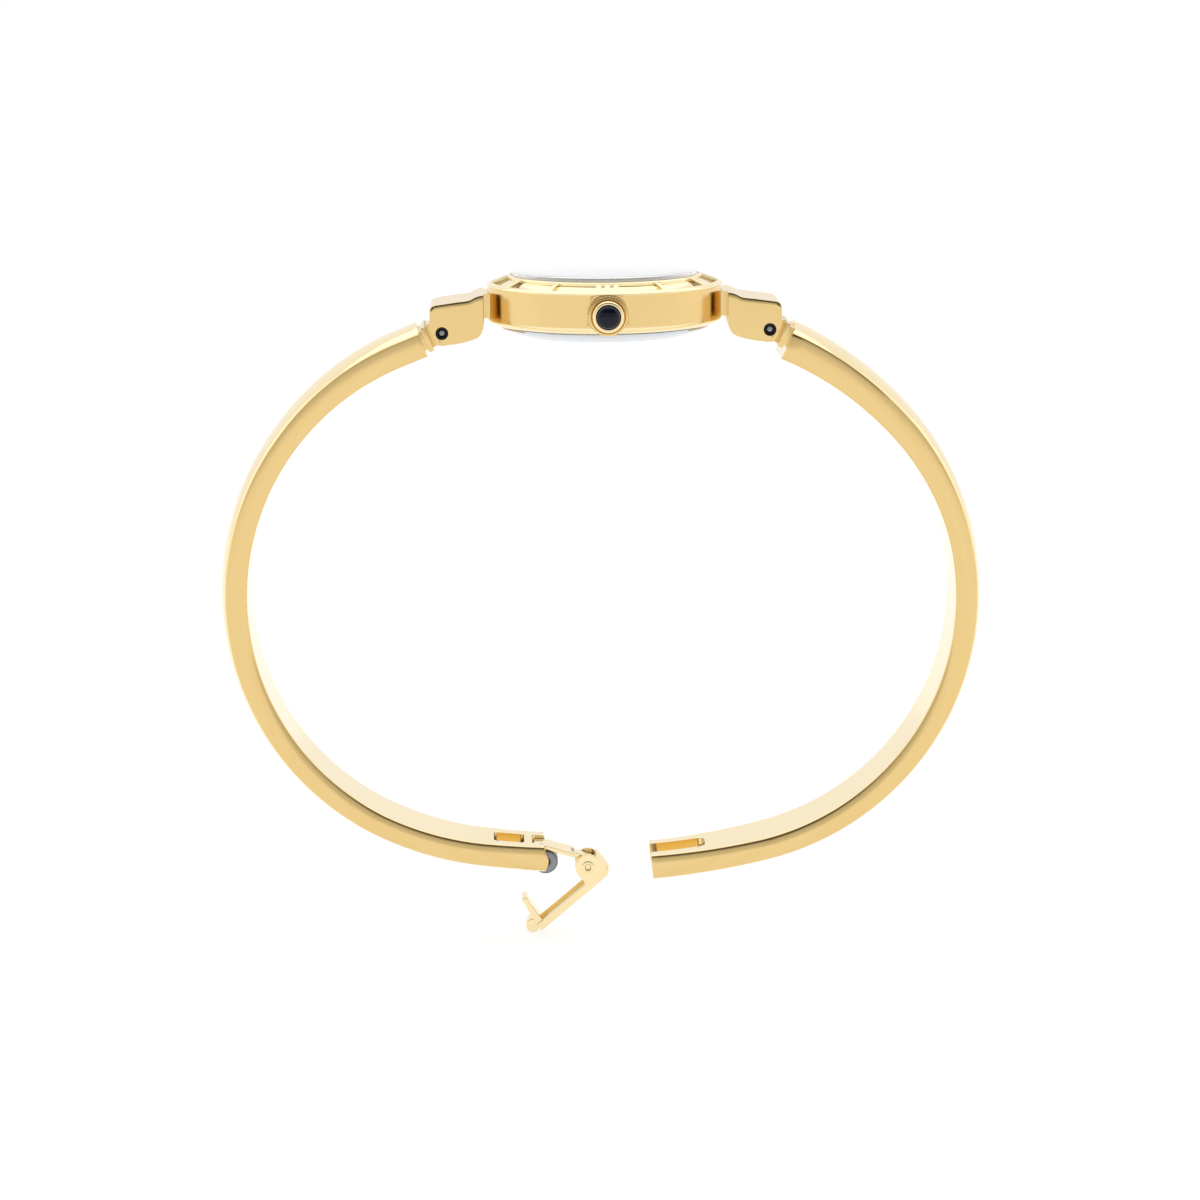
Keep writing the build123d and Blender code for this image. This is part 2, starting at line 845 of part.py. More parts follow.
def arm_blank(bends):
    """An arm before its clasp end is slotted: tongue, collar, neck and hoop."""
    shoulder, side, clasp = arm_path(bends)
    root = domed_section(shoulder @ 0, shoulder % 0, arm_width, 0, arm_side_height, arm_dome, arm_bevel)
    waist = domed_section(clasp @ 0, clasp % 0, arm_waist_width, 0, arm_side_height, arm_dome, arm_bevel)
    end = domed_section(clasp @ 1, clasp % 1, arm_end_width, 0, arm_end_side_height, arm_end_dome, arm_bevel)
    hoop = sweep([root, waist], path=Wire([shoulder, side]), multisection=True)
    hoop += sweep([waist, end], path=clasp, multisection=True)

    def root_block(start, end, low, high, width):
        return across(
            side_face(
                hinge_point(start, low),
                hinge_point(end, low),
                hinge_point(end, high),
                hinge_point(start, high),
            ),
            width,
        )

    collar_end = collar_from_hinge + collar_length
    collar = root_block(collar_from_hinge, collar_end, -collar_foot, collar_top, collar_width)
    neck_width = collar_width - 2 * neck_inset
    neck = root_block(
        collar_end, arm_start + neck_inset, neck_inset - collar_foot, collar_top - neck_inset, neck_width
    )
    bar = root_block(0, collar_end, neck_inset - tongue_radius, tongue_radius - neck_inset, tongue_width)
    eye = rod(tongue_radius, hinge_x, hinge_z, tongue_width / 2, -tongue_width / 2)
    bore = rod(hinge_pin_radius + running_gap, hinge_x, hinge_z, lug_width, -lug_width)
    return hoop + neck + collar + bar + eye - bore


def end_cut(end, start, length, corner):
    """A rounded cut right through the arm, starting so far back from the clasp end."""
    lying = Plane(origin=end.origin - end.z_dir * (start + length / 2), x_dir=(0, 1, 0), z_dir=end.y_dir)
    return extrude(lying * RectangleRounded(slot_width, length, corner), 2 * arm_side_height, both=True)


def right_end():
    return clasp_end(right_bends)


def left_end():
    """The left arm's clasp end, before the arm is mirrored to its own side."""
    return clasp_end(left_bends)


def right_arm():
    open_end = 2 * slot_corner
    slot = end_cut(right_end(), -open_end, slot_length + open_end, slot_corner)
    return arm_blank(right_bends) - slot - right_cross_pin()


def right_cross_pin():
    return cross_pin(pin_point(right_end(), right_pin_from_end, right_pin_depth))


def left_arm():
    open_end = 2 * window_corner
    fork_length = left_pin_from_end + barrel_radius + free_gap
    fork = end_cut(left_end(), -open_end, fork_length + open_end, window_corner)
    window = end_cut(left_end(), left_pin_from_end + window_from_pin, window_length, window_corner)
    return mirror(arm_blank(left_bends) - fork - window, Plane.YZ) - left_cross_pin()


def left_pin_point():
    at = pin_point(left_end(), left_pin_from_end, left_pin_depth)
    return Vector(-at.X, 0, at.Z)


def left_cross_pin():
    return cross_pin(left_pin_point())


# Clasp

def link_plane():
    """X runs from the cross pin to the lever's rivet, and Y towards the wrist."""
    return Plane(origin=left_pin_point(), x_dir=heading(link_angle), z_dir=(0, -1, 0))


def rivet_point():
    return left_pin_point() + heading(link_angle) * link_length


def clasp_barrel():
    at = left_pin_point()
    half = barrel_length / 2
    return rod(barrel_radius, at.X, at.Z, half, -half) - rod(
        cross_pin_radius + running_gap, at.X, at.Z, half, -half
    )


def clasp_link():
    """A strip from the barrel's top to the eye's top, narrowed to pass between the lever's walls."""
    start_top = barrel_radius + link_strip
    fall = (start_top - link_eye_radius) / link_length

    def strip(start, end):
        return side_strip(start, end, start_top - fall * start, start_top - fall * end)

    def side_strip(start, end, start_height, end_height):
        return make_face(
            Polyline(
                (start, start_height),
                (end, end_height),
                (end, end_height - link_strip),
                (start, start_height - link_strip),
                close=True,
            )
        )

    plane = link_plane()
    wide = side_strip(-link_wrap, 0, start_top - link_strip / 2, start_top) + strip(0, link_wide_length)
    eye = Pos(link_length, 0) * Circle(link_eye_radius)
    narrow = strip(link_wide_length - link_strip, link_length) + eye
    link = across(plane * wide, link_width) + across(plane * narrow, link_eye_width)
    pin = left_pin_point()
    rivet = rivet_point()
    link -= rod(barrel_radius, pin.X, pin.Z, link_width, -link_width)
    return link - rod(rivet_radius + running_gap, rivet.X, rivet.Z, link_width, -link_width)


def clasp_rivet():
    at = rivet_point()
    half = lever_width / 2
    shank = rod(rivet_radius, at.X, at.Z, half, -half)
    heads = [
        rod(rivet_head_radius, at.X, at.Z, half + rivet_head, half),
        rod(rivet_head_radius, at.X, at.Z, -half, -half - rivet_head),
    ]
    return shank + heads


def clasp_lever():
    plane = Plane(origin=rivet_point(), x_dir=heading(lever_angle), z_dir=(0, -1, 0))
    line = plane * FilletPolyline(
        (-lever_nose, -lever_nose_top),
        (-lever_nose, lever_back),
        (lever_length, lever_back),
        radius=lever_nose_corner,
    )
    section = domed_section(line @ 0, line % 0, lever_width, -lever_web, 0, lever_dome, lever_bevel)
    web = sweep(section, path=line)
    corner_block = FilletPolyline(
        (-lever_nose, -lever_length),
        (-lever_nose, lever_back),
        (lever_length, lever_back),
        (lever_length, -lever_length),
        radius=lever_nose_corner,
        close=True,
    )
    low = (Align.MIN, Align.MIN)
    wall = Circle(lever_disc_radius)
    wall += Pos(-lever_nose, -lever_nose_top) * Rectangle(
        lever_nose + lever_disc_radius, lever_back + lever_nose_top, align=low
    )
    wall += Pos(0, lever_flange_edge) * Rectangle(lever_length, lever_back - lever_flange_edge, align=low)
    wall &= make_face(corner_block)
    wall -= Circle(rivet_radius)
    lever = web + across(plane * wall, lever_width)
    inner = lever_nose - lever_web
    room = Pos(-inner, -lever_length) * Rectangle(
        inner + lever_length, lever_length + lever_back - lever_web, align=low
    )
    lever -= across(plane * room, lever_width - 2 * lever_wall)
    tang_points = [(u * lever_length, v * lever_length) for u, v in tang_shares]
    lever += across(plane * make_face(Polyline(*tang_points, close=True)), tang_width)
    return lever + across(plane * (Pos(lip_along, lip_out) * Circle(lip_radius)), lip_width)


def write(node, shape):
    """Writes one piece. Loose solids of one piece stay separate solids."""
    items = shape if isinstance(shape, list) else [shape]
    solids = [solid for item in items for solid in item.solids()]
    export_step(solids[0] if len(solids) == 1 else Compound(children=solids), f"parts/{node}.step")


def opposite(shape):
    """The same piece on the 6 o'clock side."""
    return mirror(shape, Plane.YZ)


os.makedirs("parts", exist_ok=True)
for node, shape in {
    "case_middle": case_middle(),
    "lug_12": lug(),
    "lug_6": opposite(lug()),
    "bezel": bezel(),
    "crystal": crystal(),
    "crystal_gasket": crystal_gasket(),
    "flange_ring": flange_ring(),
    "dial": dial(),
    "hour_markers": hour_markers(),
    "hour_hand": hour_hand(),
    "minute_hand": minute_hand(),
    "crown_tube": crown_tube(),
    "crown": crown(),
    "crown_stem": crown_stem(),
    "crown_cabochon": cabochon(),
    "case_back": case_back(),
    "case_back_gasket": back_gasket(),
    "main_plate": main_plate(),
    "train_bridge": train_bridge(),
    "battery": battery(),
    "battery_clip": battery_clip(),
    "coil": coil(),
    "circuit_board": circuit_board(),
    "cannon_pinion": cannon_pinion(),
    "minute_wheel": minute_wheel(),
    "hour_wheel": hour_wheel(),
    "movement_holder": movement_holder(),
    "setting_lever": setting_lever(),
    "left_arm": left_arm(),
    "right_arm": right_arm(),
    "left_hinge_pin": opposite(hinge_pin()),
    "right_hinge_pin": hinge_pin(),
    "left_cross_pin": left_cross_pin(),
    "right_cross_pin": right_cross_pin(),
    "clasp_barrel": clasp_barrel(),
    "clasp_link": clasp_link(),
    "clasp_rivet": clasp_rivet(),
    "clasp_lever": clasp_lever(),
}.items():
    write(node, shape)
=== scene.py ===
import math

import bpy
from mathutils import Matrix, Vector


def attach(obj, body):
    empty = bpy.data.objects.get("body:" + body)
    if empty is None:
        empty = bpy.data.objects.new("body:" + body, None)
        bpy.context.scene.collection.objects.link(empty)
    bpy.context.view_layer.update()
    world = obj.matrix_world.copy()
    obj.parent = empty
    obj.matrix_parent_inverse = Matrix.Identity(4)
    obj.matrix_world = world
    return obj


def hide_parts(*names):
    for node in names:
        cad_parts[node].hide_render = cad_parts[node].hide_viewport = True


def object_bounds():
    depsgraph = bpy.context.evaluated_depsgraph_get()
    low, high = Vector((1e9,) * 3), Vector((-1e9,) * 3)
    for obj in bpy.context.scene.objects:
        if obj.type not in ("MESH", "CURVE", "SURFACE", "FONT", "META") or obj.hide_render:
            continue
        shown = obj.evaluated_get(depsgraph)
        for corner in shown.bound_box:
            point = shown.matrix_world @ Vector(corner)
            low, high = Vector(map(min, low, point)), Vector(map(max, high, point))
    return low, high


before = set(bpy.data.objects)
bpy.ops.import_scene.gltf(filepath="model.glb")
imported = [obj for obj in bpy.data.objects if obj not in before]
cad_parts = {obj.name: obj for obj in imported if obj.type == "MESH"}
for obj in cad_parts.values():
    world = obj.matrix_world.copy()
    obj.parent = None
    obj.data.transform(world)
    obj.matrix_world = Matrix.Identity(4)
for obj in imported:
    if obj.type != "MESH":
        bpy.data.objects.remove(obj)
cad_low, cad_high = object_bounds()

bl_info = {
    "name": "Bangle Watch",
    "version": (1, 0, 0),
    "blender": (4, 5, 0),
    "location": "3D View > Sidebar > Bangle Watch",
    "description": "Builds the visible pieces and finishes of a bangle watch round its packed model",
    "category": "Add Mesh",
}

MM = 0.001

# Places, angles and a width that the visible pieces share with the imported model, in millimetres and degrees
HINGE = Vector((13.87, 0, 0.52))
PIN = Vector((-5.65596, 0, -46.1339))
RIVET = Vector((-1.95057, 0, -46.6415))
CROWN_HEIGHT = 2.55
ARM_ANGLE = -21.0
LINK_ANGLE = -7.8
LEVER_ANGLE = 220
SLOT_WIDTH = 2.95


# Sizes and colours a user would change


class BangleSizes(bpy.types.PropertyGroup):
    case_radius: bpy.props.FloatProperty(
        name="Case radius", description="Radius of the satin band", default=10.0 * MM, unit="LENGTH"
    )
    bezel_radius: bpy.props.FloatProperty(
        name="Bezel radius", description="Radius of the bezel's outer edge", default=10.1 * MM, unit="LENGTH"
    )
    crystal_radius: bpy.props.FloatProperty(
        name="Crystal radius", description="Radius of the domed crystal", default=7.85 * MM, unit="LENGTH"
    )
    arm_width: bpy.props.FloatProperty(
        name="Arm width", description="Width of an arm at its lug", default=7.4 * MM, unit="LENGTH"
    )
    arm_end_width: bpy.props.FloatProperty(
        name="Arm end width", description="Width of an arm at the clasp", default=6.0 * MM, unit="LENGTH"
    )
    lever_width: bpy.props.FloatProperty(
        name="Lever width", description="Width of the clasp's lever", default=2.7 * MM, unit="LENGTH"
    )


class BangleColours(bpy.types.PropertyGroup):
    # The gold is set paler than the satin gold: a painted highlight for the glare on buffed faces.
    gold: bpy.props.StringProperty(
        name="Gold", description="Colour of the polished gold plate with painted highlight, as sRGB hex", default="F8E5B6"
    )
    satin_gold: bpy.props.StringProperty(
        name="Satin gold", description="Colour of the brushed gold plate, as sRGB hex", default="EBCE90"
    )
    steel: bpy.props.StringProperty(
        name="Steel", description="Colour of the turned steel back, as sRGB hex", default="D3D6DA"
    )
    stone: bpy.props.StringProperty(
        name="Stone", description="Colour of the crown's stone, as sRGB hex", default="060A14"
    )
    dial: bpy.props.StringProperty(
        name="Dial", description="Colour of the dial's lacquer, as sRGB hex", default="F1EADA"
    )


# Small tools


def sizes():
    return bpy.context.scene.bangle_sizes


def colours():
    return bpy.context.scene.bangle_colours


def colour(hex_code):
    """An sRGB hex colour as linear values."""
    channels = [int(hex_code[i : i + 2], 16) / 255 for i in (0, 2, 4)]
    linear = [c / 12.92 if c <= 0.04045 else ((c + 0.055) / 1.055) ** 2.4 for c in channels]
    return (*linear, 1.0)


def node(tree, kind, inputs=None, **settings):
    """Adds a shader node with its settings, and sets or links its inputs."""
    made = tree.nodes.new(kind)
    for key, value in settings.items():
        setattr(made, key, value)
    for key, value in (inputs or {}).items():
        if isinstance(value, bpy.types.NodeSocket):
            tree.links.new(value, made.inputs[key])
        else:
            made.inputs[key].default_value = value
    return made


def new_material(name):
    """An empty material, its node tree, and its Object coordinates."""
    made = bpy.data.materials.get(name)
    if made:
        return made, None, None
    made = bpy.data.materials.new(name)
    made.use_nodes = True
    tree = made.node_tree
    tree.nodes.clear()
    return made, tree, node(tree, "ShaderNodeTexCoord").outputs["Object"]


def close_material(tree, shader):
    node(tree, "ShaderNodeOutputMaterial", {"Surface": shader.outputs[0]})


def spread(tree, value, low, high, start=0.0, end=1.0):
    """Maps a value that runs from start to end to the range from low to high."""
    inputs = {"Value": value, "From Min": start, "From Max": end, "To Min": low, "To Max": high}
    return node(tree, "ShaderNodeMapRange", inputs).outputs["Result"]


def calculate(tree, operation, first, second):
    return node(tree, "ShaderNodeMath", {0: first, 1: second}, operation=operation).outputs[0]


def noise(tree, at, size_mm, detail=2.0, roughness=0.5):
    """A 0 to 1 pattern of patches of about this size."""
    inputs = {"Vector": at, "Scale": 1 / (size_mm * MM), "Detail": detail, "Roughness": roughness}
    return node(tree, "ShaderNodeTexNoise", inputs).outputs["Fac"]


def two_tones(tree, share, first, second):
    """Mixes two colours by a pattern."""
    inputs = {"Factor": share, "A": first, "B": second}
    return node(tree, "ShaderNodeMix", inputs, data_type="RGBA").outputs["Result"]


def bumped(tree, height, bump_mm, strength):
    """The surface's direction, tilted by a pattern."""
    inputs = {"Height": height, "Distance": bump_mm * MM, "Strength": strength}
    return node(tree, "ShaderNodeBump", inputs).outputs[0]


def mix_shaders(tree, share, first, *second):
    """Mixes one shader with a share of a second, or with that share of nothing."""
    inputs = {"Fac": share, 1: first.outputs[0]}
    for other in second:
        inputs[2] = other.outputs[0]
    return node(tree, "ShaderNodeMixShader", inputs)


def wound(tree, at, centre, plane):
    """Object coordinates with X counted out from a centre: grain drawn out in Y and Z runs round it."""
    moved = node(tree, "ShaderNodeVectorMath", {0: at, 1: centre}, operation="SUBTRACT")
    flat = node(tree, "ShaderNodeVectorMath", {0: moved.outputs[0], 1: plane}, operation="MULTIPLY")
    away = node(tree, "ShaderNodeVectorMath", {0: flat.outputs[0]}, operation="LENGTH")
    parts = node(tree, "ShaderNodeSeparateXYZ", {0: at})
    turned = {"X": away.outputs["Value"], "Y": parts.outputs["Y"], "Z": parts.outputs["Z"]}
    return node(tree, "ShaderNodeCombineXYZ", turned).outputs[0]


def metal(
    name, hex_code, roughness, grain_mm, bump_mm, stretch=(1, 1, 1), tint=0.05, winding=None, streak_mm=6
):
    """Bare or plated metal. Its grain is drawn by noise stretched along the polishing direction."""
    made, tree, at = new_material(name)
    if tree is None:
        return made
    if winding:
        at = wound(tree, at, *winding)
    scaled = node(tree, "ShaderNodeMapping", {"Vector": at, "Scale": stretch}).outputs[0]
    grain = noise(tree, scaled, grain_mm, 4.0, 0.6)
    clouds = noise(tree, scaled if winding else at, streak_mm)
    base = colour(hex_code)
    warmer = (base[0] * 0.9, base[1] * 0.8, base[2] * 0.62, 1)
    shader = node(
        tree,
        "ShaderNodeBsdfPrincipled",
        {
            "Base Color": two_tones(tree, spread(tree, clouds, 0, tint * 4), base, warmer),
            "Metallic": 1.0,
            "Roughness": spread(tree, grain, roughness * 0.8, roughness * 1.25),
            "Normal": bumped(tree, grain, bump_mm, 0.6),
        },
    )
    close_material(tree, shader)
    return made


def polished_gold_painted_highlight():
    # Yellow gold plate, buffed: clear reflections, made faintly uneven by the buffing wheel.
    # Its colour is paler than the satin plate's: a painted highlight for the glare on buffed faces.
    return metal("polished gold plate with painted highlight", colours().gold, roughness=0.1, grain_mm=0.35, bump_mm=0.0015)


def satin_gold():
    # Yellow gold plate over brushed brass: soft reflections and fine brushing along X.
    return metal(
        "satin gold plate",
        colours().satin_gold,
        roughness=0.17,
        grain_mm=0.12,
        bump_mm=0.003,
        stretch=(0.25, 1, 1),
        tint=0.08,
    )


def hoop_gold():
    # Yellow gold plate brushed round the hoop: fine lighter and darker streaks follow the arm.
    return metal(
        "hoop brushed gold plate",
        colours().satin_gold,
        roughness=0.15,
        grain_mm=0.25,
        bump_mm=0.006,
        stretch=(1, 0.2, 0.02),
        tint=0.14,
        winding=((0, 0, -25.5 * MM), (1, 0, 1)),
        streak_mm=0.9,
    )


def turned_steel():
    # Stainless steel, turned and buffed: a neutral mirror broken into rings by the tool.
    return metal(
        "turned stainless steel",
        colours().steel,
        roughness=0.08,
        grain_mm=0.3,
        bump_mm=0.07,
        stretch=(1, 0.03, 0.3),
        tint=0.0,
        winding=((0, 0, 0), (1, 1, 0)),
    )


def ground_steel():
    # Ground pin steel: darker, with short scratches along the pin.
    return metal(
        "ground pin steel", "8E9094", roughness=0.3, grain_mm=0.08, bump_mm=0.003, stretch=(1, 0.2, 1)
    )


def pin_gap_painted_shade():
    # Steel painted near black: painted shade of the gap round each hinge pin's core, with a dull grey shine.
    return metal("pin gap painted shade", "2A2A2D", roughness=0.4, grain_mm=0.1, bump_mm=0.002)


def plain_metal(name, hex_code, roughness):
    return metal(name, hex_code, roughness, grain_mm=0.15, bump_mm=0.002)


def coated(name, hex_code, roughness, grain_mm, bump_mm, coat=0.0):
    """Lacquer, plastic or rubber, with a fine moulded or sprayed skin."""
    made, tree, at = new_material(name)
    if tree is None:
        return made
    grain = noise(tree, at, grain_mm, 3.0)
    base = colour(hex_code)
    deeper = (base[0] * 0.85, base[1] * 0.85, base[2] * 0.85, 1)
    shader = node(
        tree,
        "ShaderNodeBsdfPrincipled",
        {
            "Base Color": two_tones(tree, spread(tree, grain, 0, 0.3), base, deeper),
            "Roughness": roughness,
            "Coat Weight": coat,
            "Normal": bumped(tree, grain, bump_mm, 0.4),
        },
    )
    close_material(tree, shader)
    return made


def dark_stone():
    # Cut and polished onyx: almost black with a blue cast, a clear mirror skin and faint cloudy bands inside.
    made, tree, at = new_material("polished onyx")
    if tree is None:
        return made
    bands = spread(tree, noise(tree, at, 0.9, 3.0), 0, 0.8)
    shade = two_tones(tree, bands, colour(colours().stone), colour("101A2E"))
    shader = node(
        tree,
        "ShaderNodeBsdfPrincipled",
        {"Base Color": shade, "Roughness": 0.05, "IOR": 1.45, "Specular IOR Level": 0.3},
    )
    close_material(tree, shader)
    return made


def crystal_glass():
    # Mineral glass, ground and polished: clear, with a faint grey edge and a bright skin.
    # Lamp and bounced light pass it unbent, so that the dial behind it is lit.
    made, tree, at = new_material("mineral glass")
    if tree is None:
        return made
    glass = node(
        tree,
        "ShaderNodeBsdfPrincipled",
        {
            "Base Color": colour("FFFFFF"),
            "Roughness": spread(tree, noise(tree, at, 3), 0.01, 0.04),
            "IOR": 1.5,
            "Transmission Weight": 1.0,
            "Coat Weight": 1.0,
        },
    )
    # A low view sees the sky in the polish, and a high one looks through.
    edge = node(tree, "ShaderNodeLayerWeight", {"Blend": 0.5})
    slant = calculate(tree, "POWER", edge.outputs["Facing"], 1.5)
    skin = node(tree, "ShaderNodeBsdfGlossy", {"Color": colour("FFFFFF"), "Roughness": 0.02})
    dome = mix_shaders(tree, slant, glass, skin)
    rays = node(tree, "ShaderNodeLightPath").outputs
    passing = calculate(tree, "MAXIMUM", rays["Is Shadow Ray"], rays["Is Diffuse Ray"])
    clear = node(tree, "ShaderNodeBsdfTransparent")
    close_material(tree, mix_shaders(tree, passing, dome, clear))
    return made


def deselect():
    if bpy.context.object and bpy.context.object.mode != "OBJECT":
        bpy.ops.object.mode_set(mode="OBJECT")
    bpy.ops.object.select_all(action="DESELECT")


def activate(piece):
    deselect()
    piece.select_set(True)
    bpy.context.view_layer.objects.active = piece


def apply_place(piece):
    activate(piece)
    bpy.ops.object.transform_apply(location=True, rotation=True, scale=True)
    return piece


def modify(piece, kind, **settings):
    """Adds a modifier, sets it and applies it."""
    activate(piece)
    added = piece.modifiers.new(kind, kind)
    for key, value in settings.items():
        setattr(added, key, value)
    bpy.ops.object.modifier_apply(modifier=added.name)
    return piece


def soften(piece, width_mm, segments=2, angle=30):
    """Rounds the hard edges and shades the piece smooth up to them."""
    modify(
        piece,
        "BEVEL",
        width=width_mm * MM,
        segments=segments,
        limit_method="ANGLE",
        angle_limit=math.radians(angle),
        harden_normals=False,
    )
    activate(piece)
    bpy.ops.object.shade_smooth_by_angle(angle=math.radians(angle))
    return modify(piece, "WEIGHTED_NORMAL", keep_sharp=True)


def draw_outline(name, points, closed=True):
    """Extrudes one vertex from point to point, in millimetres, and fills the outline if it is closed."""
    deselect()
    bpy.ops.mesh.primitive_plane_add(size=1)
    piece = bpy.context.object
    piece.name = name
    piece.data.name = name
    bpy.ops.object.mode_set(mode="EDIT")
    bpy.ops.mesh.select_mode(type="VERT")
    bpy.ops.mesh.select_all(action="SELECT")
    bpy.ops.mesh.merge(type="CENTER")
    here = Vector((0, 0, 0))
    first = Vector(points[0]) * MM
    bpy.ops.transform.translate(value=first - here)
    here = first
    for point in points[1:]:
        there = Vector(point) * MM
        bpy.ops.mesh.extrude_region_move(TRANSFORM_OT_translate={"value": there - here})
        here = there
    bpy.ops.mesh.select_all(action="SELECT")
    if closed:
        bpy.ops.mesh.edge_face_add()
    return piece


def clean(piece):
    """Merges doubles and turns the faces outwards. Leaves edit mode."""
    bpy.ops.mesh.select_all(action="SELECT")
    bpy.ops.mesh.remove_doubles(threshold=0.002 * MM)
    bpy.ops.mesh.normals_make_consistent(inside=False)
    bpy.ops.object.mode_set(mode="OBJECT")
    return piece


def pick_points(piece, wanted):
    """Selects the points that a test wants, and stays in edit mode."""
    activate(piece)
    bpy.ops.object.mode_set(mode="EDIT")
    bpy.ops.mesh.select_mode(type="VERT")
    bpy.ops.mesh.select_all(action="DESELECT")
    bpy.ops.object.mode_set(mode="OBJECT")
    for point in piece.data.vertices:
        point.select = wanted(point.co)
    bpy.ops.object.mode_set(mode="EDIT")


def lathe(name, points, steps=160, axis=(0, 0, 1), centre=(0, 0, 0)):
    """Spins an outline of (x, y, z) points once round an axis."""
    piece = draw_outline(name, points, closed=False)
    bpy.ops.mesh.spin(
        steps=steps, angle=math.tau, center=Vector(centre) * MM, axis=axis, use_auto_merge=True, dupli=False
    )
    return clean(piece)


def ring(name, profile, steps=160):
    """Lathes a closed (radius, height) profile about the dial's axis."""
    points = [(radius, 0, height) for radius, height in profile]
    return lathe(name, [*points, points[0]], steps)


def slab(name, outline, width_mm):
    """An outline of (x, z) points filled and thickened evenly across the watch."""
    piece = draw_outline(name, [(x, -width_mm / 2, z) for x, z in outline])
    bpy.ops.mesh.extrude_region_move(TRANSFORM_OT_translate={"value": (0, width_mm * MM, 0)})
    return clean(piece)


def rod(name, radius_mm, centre, length_mm, sides=64, bevel_mm=0.0):
    """A round bar along Y about a centre point in millimetres."""
    deselect()
    bpy.ops.mesh.primitive_cylinder_add(
        vertices=sides,
        radius=radius_mm * MM,
        depth=length_mm * MM,
        location=Vector(centre) * MM,
        rotation=(math.pi / 2, 0, 0),
    )
    piece = apply_place(bpy.context.object)
    piece.name = name
    piece.data.name = name
    if bevel_mm:
        soften(piece, bevel_mm, 3, 50)
    return piece


def cut(piece, *tools):
    """Cuts the tools out of a piece and removes them."""
    for tool in tools:
        modify(piece, "BOOLEAN", operation="DIFFERENCE", object=tool, solver="EXACT")
        bpy.data.objects.remove(tool)
    return piece


def join(name, *parts):
    """Joins loose parts into one piece."""
    activate(parts[0])
    for part in parts[1:]:
        part.select_set(True)
    bpy.ops.object.join()
    parts[0].name = name
    parts[0].data.name = name
    return parts[0]


def shift(piece, across_mm):
    """Moves a piece's points across the watch."""
    piece.data.transform(Matrix.Translation((0, across_mm * MM, 0)))
    return piece


def finish_piece(piece, body, slot_name, finish, *replaced):
    """Gives a piece its material and its body, and hides the nodes that it stands for. The slot name is not
    used.
    """
    piece.data.materials.clear()
    piece.data.materials.append(finish)
    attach(piece, body)
    if replaced:
        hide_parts(*replaced)
    return piece


def paint(node_name, finish):
    """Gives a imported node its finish."""
    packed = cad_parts[node_name]
    for place in packed.material_slots:
        place.material = finish
    if not packed.material_slots:
        packed.data.materials.append(finish)


def heading(angle):
    """A unit vector in the plane of the hoop."""
    return Vector((math.cos(math.radians(angle)), 0, math.sin(math.radians(angle))))


def mirrored(piece, name):
    """A copy of a 12 o'clock piece on the 6 o'clock side."""
    activate(piece)
    bpy.ops.object.duplicate()
    other = bpy.context.object
    other.name = name
    other.data.name = name
    bpy.ops.object.mode_set(mode="EDIT")
    bpy.ops.mesh.select_all(action="SELECT")
    bpy.ops.transform.resize(value=(-1, 1, 1), center_override=(0, 0, 0))
    bpy.ops.mesh.normals_make_consistent(inside=False)
    bpy.ops.object.mode_set(mode="OBJECT")
    return other


# Case


class BANGLE_OT_case(bpy.types.Operator):
    """Lathes the satin band, its polished rim and the stepped steel back"""

    bl_idname = "bangle.case"
    bl_label = "Case"

    def execute(self, context):
        r = sizes().case_radius / MM
        well = (0, -10.72, CROWN_HEIGHT)
        band = ring(
            "case_band",
            [
                (r, 1.5),
                (r, 4.2),
                (9.02, 4.2),
                (9.02, 3.27),
                (8.12, 3.27),
                (8.12, 1.97),
                (8.77, 1.97),
                (8.77, 1.5),
            ],
        )
        cut(band, rod("crown_well", 1.74, well, 2, 96))
        soften(band, 0.06)
        finish_piece(band, "watch_head", "gold_satin", satin_gold(), "case_middle")
        rim = ring(
            "case_rim",
            [(9.2, 0.95), (9.45, 0.97), (9.82, 1.16), (9.97, 1.36), (r, 1.5), (8.77, 1.5), (8.77, 0.95)],
        )
        cut(rim, rod("crown_well", 1.69, well, 2, 96))
        soften(rim, 0.04)
        finish_piece(rim, "watch_head", "gold_polished", polished_gold_painted_highlight())
        back = lathe(
            "steel_back",
            [
                (0, 0, 0),
                (7.1, 0, 0),
                (7.35, 0, 0.03),
                (8.2, 0, 0.32),
                (8.75, 0, 0.56),
                (8.95, 0, 0.7),
                (8.95, 0, 0.84),
                (8.7, 0, 0.84),
                (8.7, 0, 1.8),
                (8.3, 0, 1.8),
                (8.3, 0, 0.9),
                (7.8, 0, 0.5),
                (0, 0, 0.5),
            ],
        )
        notch = slab("notch", [(-0.68, 0.6), (0.68, 0.6), (0.68, 1.2), (-0.68, 1.2)], 0.5)
        cut(back, shift(notch, -9.04))
        soften(back, 0.04)
        finish_piece(back, "watch_head", "steel", turned_steel(), "case_back")
        return {"FINISHED"}


def on_cone(share, depth):
    """A point at a share of the way out from the bezel's inner edge, and so deep below its cone."""
    inner, outer = Vector((8.05, 5.12)), Vector((10.1, 4.32))
    run = outer - inner
    down = Vector((run.y, -run.x)).normalized()
    point = inner + run * share + down * depth
    return point.x, point.y


